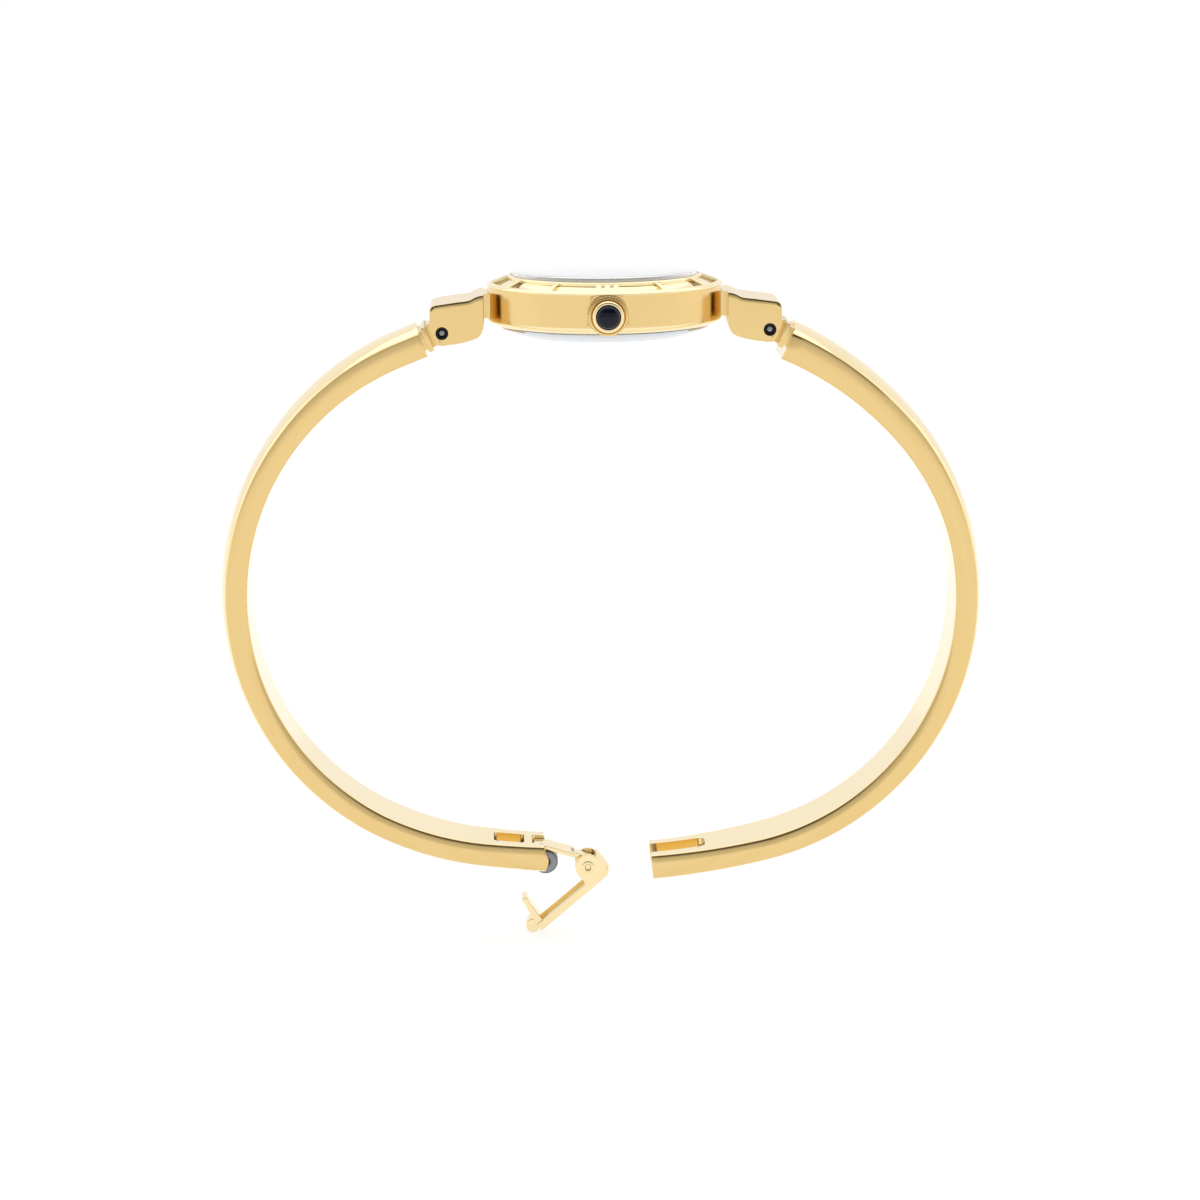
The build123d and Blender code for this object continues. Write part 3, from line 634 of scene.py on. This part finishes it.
class BANGLE_OT_bezel(bpy.types.Operator):
    """Lathes the bezel's cone with its sunk track, and sets the hour bars across it"""

    bl_idname = "bangle.bezel"
    bl_label = "Bezel"

    def execute(self, context):
        outer = sizes().bezel_radius / MM
        profile = [
            (outer, 4.2),
            (outer, 4.32),
            on_cone(0.74, 0),
            on_cone(0.72, 0.22),
            on_cone(0.16, 0.22),
            on_cone(0.14, 0),
            (8.05, 5.12),
            (8.05, 4.32),
            (7.5, 4.32),
            (7.5, 3.3),
            (9.0, 3.3),
            (9.0, 4.2),
        ]
        bezel = ring("bezel_cone", profile)
        soften(bezel, 0.04)
        finish_piece(bezel, "watch_head", "gold_polished", polished_gold_painted_highlight(), "bezel")
        bars = []
        low, high = Vector(on_cone(0.1, 0.25)), Vector(on_cone(0.8, 0.25))
        top_low, top_high = Vector(on_cone(0.1, -0.01)), Vector(on_cone(0.8, -0.01))
        places = [(30 * hour, 0) for hour in range(12)]
        places += [(90 * quarter, side) for quarter in range(4) for side in (-0.72, 0.72)]
        first = slab("bezel_bar", [low, high, top_high, top_low], 0.42)
        soften(first, 0.05)
        for turn, across in places:
            activate(first)
            bpy.ops.object.duplicate()
            bar = shift(bpy.context.object, across)
            bar.data.transform(Matrix.Rotation(math.radians(turn), 4, "Z"))
            bars.append(bar)
        bpy.data.objects.remove(first)
        bars = join("bezel_bars", *bars)
        finish_piece(bars, "watch_head", "gold_polished", polished_gold_painted_highlight())
        return {"FINISHED"}


class BANGLE_OT_crystal(bpy.types.Operator):
    """Lathes the low domed crystal"""

    bl_idname = "bangle.crystal"
    bl_label = "Crystal"

    def execute(self, context):
        r = sizes().crystal_radius / MM
        # The dome is a shallow arc that falls 0.34 mm from its middle to its edge.
        edge = 0.088
        slants = [0.011 * k for k in range(9)]
        dome = [(r * math.sin(t) / math.sin(edge), 5.76 - 0.34 * (t / edge) ** 2) for t in slants]
        profile = [(0, 0, 4.33), (r, 0, 4.33), (r, 0, 5.3), (r - 0.04, 0, 5.38)]
        profile += [(x * (r - 0.12) / r, 0, z) for x, z in reversed(dome)]
        crystal = lathe("domed_crystal", profile)
        activate(crystal)
        bpy.ops.object.shade_smooth_by_angle(angle=math.radians(25))
        finish_piece(crystal, "watch_head", "crystal", crystal_glass(), "crystal")
        return {"FINISHED"}


class BANGLE_OT_lugs(bpy.types.Operator):
    """Cuts the two lugs with their slots and pin holes, and sets the hinge pins"""

    bl_idname = "bangle.lugs"
    bl_label = "Lugs"

    def execute(self, context):
        shares = [
            (-0.12, 1.0),
            (0.117, 0.995),
            (0.18, 0.978),
            (0.246, 0.946),
            (0.295, 0.912),
            (0.345, 0.892),
            (0.42, 0.88),
            (0.538, 0.866),
            (0.9, 0.806),
            (0.955, 0.785),
            (0.99, 0.745),
            (1.0, 0.69),
            (1.0, 0.36),
            (0.98, 0.27),
            (0.895, 0.075),
            (0.868, 0.025),
            (0.82, 0.0),
            (0.567, 0.021),
            (0.4, 0.06),
            (0.246, 0.113),
            (0.175, 0.155),
            (0.127, 0.22),
            (0.087, 0.34),
            (0.07, 0.5),
            (-0.12, 0.506),
        ]
        start, length, foot, height = 9.92, 4.97, -0.51, 4.2
        outline = [(start + u * length, foot + v * height) for u, v in shares]
        # The side faces lean back along their top: an end layer is drawn flatter than the block.
        lug = draw_outline("lug_block", [(x, -3.65, z) for x, z in outline])
        for run in (0.17, 6.96, 0.17):
            bpy.ops.mesh.extrude_region_move(TRANSFORM_OT_translate={"value": (0, run * MM, 0)})
        clean(lug)
        lean_from = 0.9 * MM
        pick_points(lug, lambda co: abs(co.y) > 3.6 * MM and co.z > lean_from)
        bpy.ops.transform.resize(value=(1, 1, 0.84), center_override=(0, 0, lean_from))
        bpy.ops.object.mode_set(mode="OBJECT")
        shoulder = [(9, -2), (10.34, -2), (10.34, 5), (9, 5)]
        tools = [shift(slab("shoulder", shoulder, 2), side * 3.2) for side in (-1, 1)]
        tools.append(slab("slot", [(12.42, -3), (16, -3), (16, 1.97), (12.42, 1.97)], 3.6))
        tools.append(rod("pin_hole", 0.535, HINGE, 9, 48))
        deselect()
        bpy.ops.mesh.primitive_cylinder_add(
            vertices=160, radius=sizes().case_radius, depth=12 * MM, location=(0, 0, 0)
        )
        tools.append(apply_place(bpy.context.object))
        cut(lug, *tools)
        other = mirrored(lug, "lug_block_6")
        for block in (lug, other):
            soften(block, 0.09, 3, 35)
        lug.name = "lug_block_12"
        finish_piece(lug, "watch_head", "gold_satin", satin_gold(), "lug_12")
        finish_piece(other, "watch_head", "gold_satin", satin_gold(), "lug_6")
        for side, name in ((-1, "left_hinge_pin"), (1, "right_hinge_pin")):
            at = Vector((side * HINGE.x, 0, HINGE.z))
            profile = [(0.26, 3.2), (0.3, 3.42), (0.5, 3.46), (0.53, 3.4)]
            profile += [(r, -y) for r, y in reversed(profile)]
            points = [(at.x + r, y, at.z) for r, y in [*profile, profile[0]]]
            # A near-black ring round the pin's grey core: painted shade of the gap in the pin hole.
            shade_ring = lathe("pin_shade_ring", points, 48, (0, 1, 0), at)
            soften(shade_ring, 0.02)
            finish_piece(shade_ring, "watch_head", "pin_steel", pin_gap_painted_shade(), name)
            core = rod("pin_core", 0.255, at, 6.76, 32, 0.06)
            finish_piece(core, "watch_head", "pin_steel", ground_steel())
        for name in ("left_cross_pin", "right_cross_pin"):
            paint(name, ground_steel())
        return {"FINISHED"}


class BANGLE_OT_crown(bpy.types.Operator):
    """Lathes the crown, cuts its flutes and sets its stone"""

    bl_idname = "bangle.crown"
    bl_label = "Crown"

    def execute(self, context):
        z = CROWN_HEIGHT
        grip = [
            (0.6, -9.8),
            (1.5, -9.8),
            (1.62, -9.86),
            (1.66, -9.95),
            (1.66, -10.8),
            (1.63, -10.88),
            (1.55, -10.93),
            (1.46, -10.95),
            (1.4, -10.9),
            (1.34, -10.78),
            (1.1, -10.72),
            (0.6, -10.72),
        ]
        front = [
            (0.6, -10.6),
            (1.08, -10.6),
            (1.12, -10.95),
            (1.28, -11.1),
            (1.33, -11.26),
            (1.29, -11.42),
            (1.21, -11.52),
            (1.12, -11.55),
            (1.03, -11.54),
            (0.985, -11.48),
            (0.985, -11.25),
            (0.6, -11.25),
        ]
        crown, rim = (
            lathe(name, [(r, y, z) for r, y in [*profile, profile[0]]], 120, (0, 1, 0), (0, 0, z))
            for name, profile in (("fluted_crown", grip), ("crown_front", front))
        )
        tools = []
        for flute in range(40):
            at = heading(9 * flute) * 1.68
            tools.append(rod("flute", 0.08, (at.x, -10.4, z + at.z), 1.3, 12))
        cut(crown, join("flutes", *tools))
        soften(crown, 0.025)
        finish_piece(crown, "crown_knob", "gold_polished", satin_gold(), "crown")
        soften(rim, 0.03)
        finish_piece(rim, "crown_knob", "gold_polished", polished_gold_painted_highlight())
        turns = [math.pi / 2 * k / 12 for k in range(13)]
        dome = [(0.98 * math.cos(t), -11.5 - 0.66 * math.sin(t)) for t in turns]
        points = [(radius, y, z) for radius, y in [(0, -11.26), (0.97, -11.26), *dome]]
        stone = lathe("cabochon_stone", points, 64, (0, 1, 0), (0, 0, z))
        activate(stone)
        bpy.ops.object.shade_smooth_by_angle(angle=math.radians(40))
        finish_piece(stone, "crown_knob", "cabochon", dark_stone(), "crown_cabochon")
        return {"FINISHED"}


# Arms


def arm_outline(width, side_height, dome):
    """The hoop's section as (across, outward) points: flat inside, crowned sides and a shallow dome."""
    half = width / 2
    right = [(half - 0.36, 0), (half - 0.25, 0.03)]
    for k in range(9):
        lean = k / 4 - 1
        sag = 0.15 if lean < 0 else 0.08
        right.append((half - sag * lean * lean, 0.12 + (side_height - 0.16) * k / 8))
    right.append((half - 0.2, side_height + 0.05))
    crown = []
    for k in range(1, 12):
        across = (half - 0.2) * (1 - k / 6)
        share = across / half
        crown.append((across, side_height + dome * (1 - share * share)))
    left = [(-across, out) for across, out in reversed(right)]
    return right + crown + left


def place_section(points, at, angle):
    """Section points set square to the hoop at a point, in the frame's millimetres."""
    out = heading(angle + 90)
    return [(at.x + out.x * o, a, at.z + out.z * o) for a, o in points]


def thicken(at, angle, scale, still, narrowing=1.0):
    """Scales the selected section about a layer that stays still, in millimetres above the inner face."""
    centre = at + heading(angle + 90) * still
    bpy.ops.transform.resize(value=(scale, narrowing, scale), center_override=centre * MM)


def hoop(name, bends, root_swell, end_swell, flare=1.0):
    """Sweeps an arm along tangent bends of (radius, degrees). A swell is (scale, still layer) at one end.

    The flare thickens the root further and fades along the first bend.
    """
    (first, first_bend), (second, second_bend), *last = bends
    (root_scale, root_still), (end_scale, end_still) = root_swell, end_swell
    width = sizes().arm_width / MM
    waist_width = width - 0.2
    # The inner face passes so deep inside the hinge, and the sweep starts so far along from it.
    depth, start = 1.4, 1.85
    angle = ARM_ANGLE
    at = HINGE - heading(angle + 90) * depth
    skipped = math.degrees(start / first)
    centre = at - heading(angle + 90) * first
    at = centre + heading(angle + 90 - skipped) * first
    angle -= skipped
    section = arm_outline(width, side_height=1.8, dome=0.64)
    piece = draw_outline(name, place_section(section, at, angle))
    thicken(at, angle, root_scale * flare, root_still)
    waist = waist_width / width
    tip = sizes().arm_end_width / MM / waist_width
    steps = [(first, (first_bend - skipped) / 10, 1.0, flare ** (-1 / 10), root_still)] * 10
    steps += [(second, second_bend / 84, waist ** (1 / 84), root_scale ** (-1 / 20), root_still)] * 20
    steps += [(second, second_bend / 84, waist ** (1 / 84), 1.0, 0)] * 64
    share = 20 // len(last)
    for radius, bend in last:
        steps += [(radius, bend / share, tip ** (1 / 20), end_scale ** (1 / 20), end_still)] * share
    for radius, bend, narrowing, scale, still in steps:
        centre = at - heading(angle + 90) * radius
        bpy.ops.mesh.spin(
            steps=1, angle=math.radians(-bend), center=centre * MM, axis=(0, 1, 0), use_auto_merge=False
        )
        angle -= bend
        at = centre + heading(angle + 90) * radius
        thicken(at, angle, scale, still, narrowing)
    return clean(piece), at, angle


def slot_tool(name, end, angle, start, length, width, corner):
    """A round-cornered block that cuts right through an arm near its clasp end."""
    tall = 12 * MM
    deselect()
    bpy.ops.mesh.primitive_cube_add(size=1)
    tool = bpy.context.object
    tool.name = name
    bpy.ops.transform.resize(value=(length * MM, width * MM, tall))
    apply_place(tool)
    bpy.ops.object.mode_set(mode="EDIT")
    bpy.ops.mesh.select_all(action="DESELECT")
    bpy.ops.object.mode_set(mode="OBJECT")
    for edge in tool.data.edges:
        a, b = (tool.data.vertices[i].co for i in edge.vertices)
        edge.select = abs(a.z - b.z) > tall / 2
    bpy.ops.object.mode_set(mode="EDIT")
    bpy.ops.mesh.select_mode(type="EDGE")
    bpy.ops.mesh.bevel(offset=corner * MM, segments=6)
    bpy.ops.object.mode_set(mode="OBJECT")
    middle = end - heading(angle) * (start + length / 2)
    tool.data.transform(Matrix.Translation(middle * MM) @ Matrix.Rotation(math.radians(-angle), 4, "Y"))
    return tool


def root(name):
    """The collar, neck, tongue and eye that carry an arm on its hinge pin."""
    out, along = heading(ARM_ANGLE + 90), heading(ARM_ANGLE)

    def block(part, start, end, low, high, width):
        corners = [(start, low), (end, low), (end, high), (start, high)]
        points = [HINGE + along * a + out * o for a, o in corners]
        return slab(part, [(p.x, p.z) for p in points], width)

    collar = block("collar", 1.17, 1.59, -1.15, 1.0, 6.4)
    neck = block("neck", 1.5, 2.1, -0.9, 0.75, 5.9)
    bar = block("bar", 0, 1.3, -1.0, 1.0, 3.3)
    eye = rod("eye", 1.3, HINGE, 3.4, 64)
    for part in (eye, bar):
        cut(part, rod("hole", 0.6, HINGE, 9, 48))
    return join(name, collar, neck, bar, eye)


class BANGLE_OT_arms(bpy.types.Operator):
    """Sweeps the two arms, cuts their clasp ends and adds their hinge roots"""

    bl_idname = "bangle.arms"
    bl_label = "Arms"

    def execute(self, context):
        bends = (28.2, 27.7), (21.648, 118.075), (62.5, 8.925)
        right, end, angle = hoop("arm_hoop_12", bends, (1.17, 1.8), (1.08, 0), 1.13)
        cut(right, slot_tool("slot", end, angle, -1.2, 6.0, SLOT_WIDTH, 0.6))
        soften(right, 0.05, 2, 40)
        finish_piece(right, "arm_12", "gold_satin", hoop_gold(), "right_arm")
        bends = (250, 1), (21.505, 129.55), (25.5, 20.22), (90, 3.71)
        left, end, angle = hoop("arm_blank_6", bends, (1.14, 0), (1.1, 2.4))
        inner = [(0.02, 0.95), (-0.5, -0.3), (1, -0.3), (1, 0.95)]
        outer = [(0.02, 1.0), (1, 1.0), (1, 3), (-0.42, 3)]
        cut(
            left,
            slab("inner_corner", on_line(end, angle, inner), 8),
            slab("outer_corner", on_line(end, angle, outer), 8),
            slot_tool("fork", end, angle, -0.6, 2.12, SLOT_WIDTH, 0.3),
            slot_tool("window", end, angle, 2.19, 2.65, SLOT_WIDTH, 0.3),
        )
        turned = mirrored(left, "arm_hoop_6")
        bpy.data.objects.remove(left)
        soften(turned, 0.05, 2, 40)
        finish_piece(turned, "arm_6", "gold_satin", hoop_gold(), "left_arm")
        # The sides stay brushed. The inner face, the dome, the end and the walls of the slots are polished.
        # Their paler gold is a painted highlight, set against the darker sides of the same plate.
        for arm in (right, turned):
            arm.data.materials.append(polished_gold_painted_highlight())
            for face in arm.data.polygons:
                inside = abs(face.center.y) < 1.6 * MM
                face.material_index = int(inside or abs(face.normal.y) < 0.5)
        first = root("arm_root_12")
        second = mirrored(first, "arm_root_6")
        for piece in (first, second):
            soften(piece, 0.07, 3)
        finish_piece(first, "arm_12", "gold_polished", satin_gold())
        finish_piece(second, "arm_6", "gold_polished", satin_gold())
        return {"FINISHED"}


# Clasp


def on_line(origin, angle, points):
    """Points counted along a line and out to its left, as (x, z) in the frame."""
    along, out = heading(angle), heading(angle + 90)
    return [(origin.x + along.x * u + out.x * v, origin.z + along.z * u + out.z * v) for u, v in points]


def arc(centre, radius, start, end, steps):
    """Points on an arc, in degrees from start to end."""
    turns = [math.radians(start + (end - start) * k / steps) for k in range(steps + 1)]
    return [(centre[0] + radius * math.cos(t), centre[1] + radius * math.sin(t)) for t in turns]


class BANGLE_OT_link(bpy.types.Operator):
    """Draws the clasp's link, its steel barrel and the tubular rivet"""

    bl_idname = "bangle.link"
    bl_label = "Link"

    def execute(self, context):
        # The strip lies over the barrel and falls evenly to the rivet: (along, out) from the cross pin.
        length, outer, inner, end_outer = 3.74, 1.44, 1.08, 0.8
        wide_end, narrow_start = 2.45, 2.1
        fall = (outer - end_outer) / length
        wide = [
            (-1.2, 1.1),
            (-1.2, 1.32),
            (0, outer),
            (wide_end, outer - fall * wide_end),
            (wide_end, inner - fall * wide_end),
            (0, inner),
        ]
        narrow = [
            (narrow_start, outer - fall * narrow_start),
            (length, end_outer),
            (length, 0.44),
            (narrow_start, inner - fall * narrow_start),
        ]
        strip = slab("link_strip", on_line(PIN, LINK_ANGLE, wide), 2.6)
        cut(strip, rod("seat", 1.09, PIN, 4, 64))
        tail = slab("link_tail", on_line(PIN, LINK_ANGLE, narrow), 1.5)
        eye = rod("link_eye", 0.8, RIVET, 1.5, 48)
        for part in (tail, eye):
            cut(part, rod("hole", 0.44, RIVET, 4, 48))
        for part in (strip, tail, eye):
            soften(part, 0.05, 3)
        link = join("link_strip", strip, tail, eye)
        finish_piece(link, "link", "gold_polished", polished_gold_painted_highlight(), "clasp_link")
        barrel = rod("link_barrel", 1.08, PIN, 2.6, 96)
        cut(barrel, rod("bore", 0.26, PIN, 4, 32))
        soften(barrel, 0.34, 6, 50)
        # The barrel's darker ground steel is a painted reflection: its grey stands in for the dark
        # reflections on the polished barrel.
        finish_piece(barrel, "link", "steel", ground_steel(), "clasp_barrel")
        head = [
            (0.2, 1.25),
            (0.24, 1.35),
            (0.31, 1.405),
            (0.42, 1.42),
            (0.51, 1.4),
            (0.55, 1.355),
            (0.4, 1.345),
        ]
        profile = [(0, -1.25), *((r, -y) for r, y in head), *reversed(head), (0, 1.25)]
        points = [(RIVET.x + r, y, RIVET.z) for r, y in profile]
        rivet = lathe("tubular_rivet", points, 48, (0, 1, 0), RIVET)
        soften(rivet, 0.01, 2, 40)
        finish_piece(rivet, "lever", "gold_polished", polished_gold_painted_highlight(), "clasp_rivet")
        return {"FINISHED"}


class BANGLE_OT_lever(bpy.types.Operator):
    """Folds the clasp's lever: a domed back, two walls, a tang and a lip"""

    bl_idname = "bangle.lever"
    bl_label = "Lever"

    def execute(self, context):
        half = sizes().lever_width / MM / 2
        along, out = heading(LEVER_ANGLE), heading(LEVER_ANGLE + 90)
        # Along the lever from the rivet, and out to its back, which turns into the nose about the bend.
        length, nose, foot, back, dome = 6.8, 1.2, 0.25, 1.68, 0.22
        bend = (-0.5, 0.98)
        section = [(half - 0.05, -0.3), (half, -0.25), (half, 0)]
        section += [(half - 2 * half * k / 10, dome * (1 - (1 - k / 5) ** 2)) for k in range(1, 10)]
        section += [(-half, 0), (-half, -0.25), (-half + 0.05, -0.3)]
        start = RIVET - along * nose - out * foot
        web = draw_outline("folded_lever", [start + Vector((0, a, 0)) - along * o for a, o in section])
        bpy.ops.mesh.extrude_region_move(TRANSFORM_OT_translate={"value": out * (bend[1] + foot) * MM})
        corner = RIVET + along * bend[0] + out * bend[1]
        bpy.ops.mesh.spin(
            steps=8, angle=math.radians(-90), center=corner * MM, axis=(0, 1, 0), use_auto_merge=False
        )
        bpy.ops.mesh.extrude_region_move(TRANSFORM_OT_translate={"value": along * (length - bend[0]) * MM})
        clean(web)
        outline = arc((0, 0), 1.12, 193, 360, 22)
        outline += arc((1.42, 0.73), 0.3, 180, 90, 5)
        outline += [(length, 1.03), (length, back)]
        outline += arc(bend, 0.7, 90, 180, 6)
        outline += [(-nose, -foot)]
        walls = []
        for side in (-1, 1):
            wall = shift(slab("wall", on_line(RIVET, LEVER_ANGLE, outline), 0.36), side * 1.185)
            walls.append(cut(wall, rod("hole", 0.41, RIVET, 4, 48)))
        tang = [
            (6.05, 1.5),
            (6.11, 0.88),
            (5.98, -0.8),
            (5.9, -1.1),
            (5.92, -1.42),
            (6.1, -1.5),
            (6.34, -1.52),
            (6.42, -0.9),
            (6.81, 0.76),
            (6.9, 1.3),
            (6.72, 1.62),
        ]
        tongue = slab("tang", on_line(RIVET, LEVER_ANGLE, tang), 2.3)
        lip_at = RIVET + along * 7.15 + out * 0.92
        lip = rod("lip", 0.6, lip_at, 2, 48)
        parts = [web, *walls, tongue, lip]
        for part in parts:
            soften(part, 0.06, 3)
        lever = join("folded_lever", *parts)
        finish_piece(lever, "lever", "gold_polished", polished_gold_painted_highlight(), "clasp_lever")
        return {"FINISHED"}


# Dial and what lies behind it


class BANGLE_OT_inside(bpy.types.Operator):
    """Gives the dial, hands, movement and gaskets their finishes"""

    bl_idname = "bangle.inside"
    bl_label = "Inside"

    def execute(self, context):
        # Sprayed ivory lacquer: even and soft, with a clear coat over it.
        paint("dial", coated("ivory dial lacquer", colours().dial, 0.35, 0.2, 0.002, coat=0.4))
        for name in ("hour_markers", "hour_hand", "minute_hand"):
            paint(name, polished_gold_painted_highlight())
        paint("flange_ring", satin_gold())
        # Clear nylon: pale, a little milky.
        paint("crystal_gasket", coated("clear nylon", "E8E6DF", 0.4, 0.3, 0.002))
        # Black rubber: dull, with a fine moulded skin.
        paint("case_back_gasket", coated("black nitrile rubber", "17171A", 0.6, 0.1, 0.004))
        for name in ("crown_tube", "battery_clip", "setting_lever", "crown_stem"):
            paint(name, ground_steel())
        for name in ("main_plate", "train_bridge"):
            paint(name, plain_metal("nickelled brass", "D2C9A8", 0.3))
        for name in ("cannon_pinion", "minute_wheel", "hour_wheel"):
            paint(name, plain_metal("polished brass", "D9B765", 0.18))
        paint("battery", plain_metal("brushed cell steel", "C4C5C8", 0.28))
        # Enamelled copper: warm and glossy.
        paint("coil", plain_metal("enamelled copper wire", "B5653A", 0.25))
        # Epoxy board: deep green under a clear mask.
        paint("circuit_board", coated("green circuit board", "1E5B33", 0.35, 0.15, 0.003, coat=0.5))
        # Moulded acetal: white, dull and slightly waxy.
        paint("movement_holder", coated("white acetal", "E6E4DD", 0.45, 0.2, 0.003))
        return {"FINISHED"}


# Studio


def looking_rays(tree):
    """1 for rays that show a surface to the camera, straight or by a mirror or glass."""
    rays = node(tree, "ShaderNodeLightPath").outputs
    bent = calculate(tree, "MAXIMUM", rays["Is Glossy Ray"], rays["Is Transmission Ray"])
    return calculate(tree, "MAXIMUM", rays["Is Camera Ray"], bent)


class BANGLE_OT_studio(bpy.types.Operator):
    """Lays a plain pale floor, soft lamps, a pale world and the camera"""

    bl_idname = "bangle.studio"
    bl_label = "Studio"

    def execute(self, context):
        scene = context.scene
        scene.view_settings.view_transform = "Standard"
        deselect()
        bpy.ops.mesh.primitive_plane_add(size=12, location=(0, 0, cad_low.z - 0.0002))
        floor = bpy.context.object
        floor.name = "studio_floor"
        made, tree, at = new_material("white paper sweep")
        # Matt white paper: the camera, metal and glass see it near white, and it keeps a soft shadow.
        tone = two_tones(tree, noise(tree, at, 0.4), colour("F4F4F4"), colour("F1F1F1"))
        paper = node(tree, "ShaderNodeBsdfDiffuse", {"Color": tone})
        dim = mix_shaders(tree, 0.6, paper)
        glow = node(tree, "ShaderNodeEmission", {"Color": colour("FFFFFF"), "Strength": 0.76})
        both = node(tree, "ShaderNodeAddShader", {0: glow.outputs[0], 1: dim.outputs[0]})
        close_material(tree, mix_shaders(tree, looking_rays(tree), paper, both))
        floor.data.materials.append(made)

        world = bpy.data.worlds.new("pale studio")
        world.use_nodes = True
        scene.world = world
        tree = world.node_tree
        tree.nodes.clear()
        at = node(tree, "ShaderNodeTexCoord").outputs["Generated"]
        way = node(tree, "ShaderNodeSeparateXYZ", {0: at}).outputs
        # Metal sees white walls at the sides and behind, a greyer room towards the camera,
        # and a dark ceiling over it.
        front = spread(tree, way["Y"], 0.0, 1.0, 0.14, 0.26)
        fade = spread(tree, way["Z"], 1.0, 0.5, -0.3, 0.45)
        wall = spread(tree, front, fade, 1.0)
        rise = spread(tree, way["Z"], 0.0, 1.0, 0.45, 0.6)
        near = spread(tree, way["Y"], 0.0, 1.0, -0.1, -0.4)
        shade = spread(tree, calculate(tree, "MULTIPLY", rise, near), 1.0, 0.15)
        room = calculate(tree, "MULTIPLY", wall, shade)
        lit, white, seen = (
            node(tree, "ShaderNodeBackground", {"Color": colour("FFFFFF"), "Strength": strength})
            for strength in (0.7, 1.0, room)
        )
        first = mix_shaders(tree, looking_rays(tree), lit, white)
        rays = node(tree, "ShaderNodeLightPath").outputs
        second = mix_shaders(tree, rays["Is Glossy Ray"], first, seen)
        node(tree, "ShaderNodeOutputWorld", {"Surface": second.outputs[0]})

        aim = Vector((0, 0, -0.02))
        for name, place, size, power in (
            ("soft_top", (0.0, 0.3, 0.75), 1.3, 2.1),
            ("soft_left", (-0.85, 0.15, 0.25), 1.2, 1.0),
            ("soft_right", (0.85, 0.15, 0.25), 1.2, 1.0),
        ):
            deselect()
            bpy.ops.object.light_add(type="AREA", location=place)
            lamp = bpy.context.object
            lamp.name = name
            lamp.data.shape = "DISK"
            lamp.data.size = size
            lamp.data.energy = power
            lamp.rotation_euler = (aim - Vector(place)).to_track_quat("-Z", "Y").to_euler()

        # Fitted to the photograph: 33 cm away, a little above and to the left, rolled by half a degree.
        deselect()
        bpy.ops.object.camera_add()
        camera = bpy.context.object
        camera.name = "photo_camera"
        eye = Vector((-0.0086, -0.32547, 0.03656))
        target = Vector((-0.00065, 0, -0.0232))
        turn = (target - eye).to_track_quat("-Z", "Y").to_matrix().to_4x4()
        camera.matrix_world = Matrix.Translation(eye) @ turn @ Matrix.Rotation(math.radians(-0.56), 4, "Z")
        camera.data.lens = 114.75
        camera.data.sensor_width = 36
        camera.data.clip_start = 0.01
        camera.data.clip_end = 20
        scene.camera = camera
        return {"FINISHED"}


class BANGLE_PT_panel(bpy.types.Panel):
    """Lists the watch's pieces, sizes and colours"""

    bl_idname = "BANGLE_PT_panel"
    bl_label = "Bangle Watch"
    bl_space_type = "VIEW_3D"
    bl_region_type = "UI"
    bl_category = "Bangle Watch"

    def draw(self, context):
        for group in (context.scene.bangle_sizes, context.scene.bangle_colours):
            for name in group.__annotations__:
                self.layout.prop(group, name)
        for step in STEPS:
            self.layout.operator(step.bl_idname)


STEPS = (
    BANGLE_OT_studio,
    BANGLE_OT_case,
    BANGLE_OT_bezel,
    BANGLE_OT_crystal,
    BANGLE_OT_lugs,
    BANGLE_OT_crown,
    BANGLE_OT_arms,
    BANGLE_OT_link,
    BANGLE_OT_lever,
    BANGLE_OT_inside,
)
CLASSES = (BangleSizes, BangleColours, *STEPS, BANGLE_PT_panel)


def register():
    for made in CLASSES:
        bpy.utils.register_class(made)
    bpy.types.Scene.bangle_sizes = bpy.props.PointerProperty(type=BangleSizes)
    bpy.types.Scene.bangle_colours = bpy.props.PointerProperty(type=BangleColours)


def unregister():
    del bpy.types.Scene.bangle_sizes
    del bpy.types.Scene.bangle_colours
    for made in reversed(CLASSES):
        bpy.utils.unregister_class(made)


def main():
    register()
    bpy.ops.bangle.studio()
    bpy.ops.bangle.case()
    bpy.ops.bangle.bezel()
    bpy.ops.bangle.crystal()
    bpy.ops.bangle.lugs()
    bpy.ops.bangle.crown()
    bpy.ops.bangle.arms()
    bpy.ops.bangle.link()
    bpy.ops.bangle.lever()
    bpy.ops.bangle.inside()
    deselect()


if __name__ == "__main__":
    main()
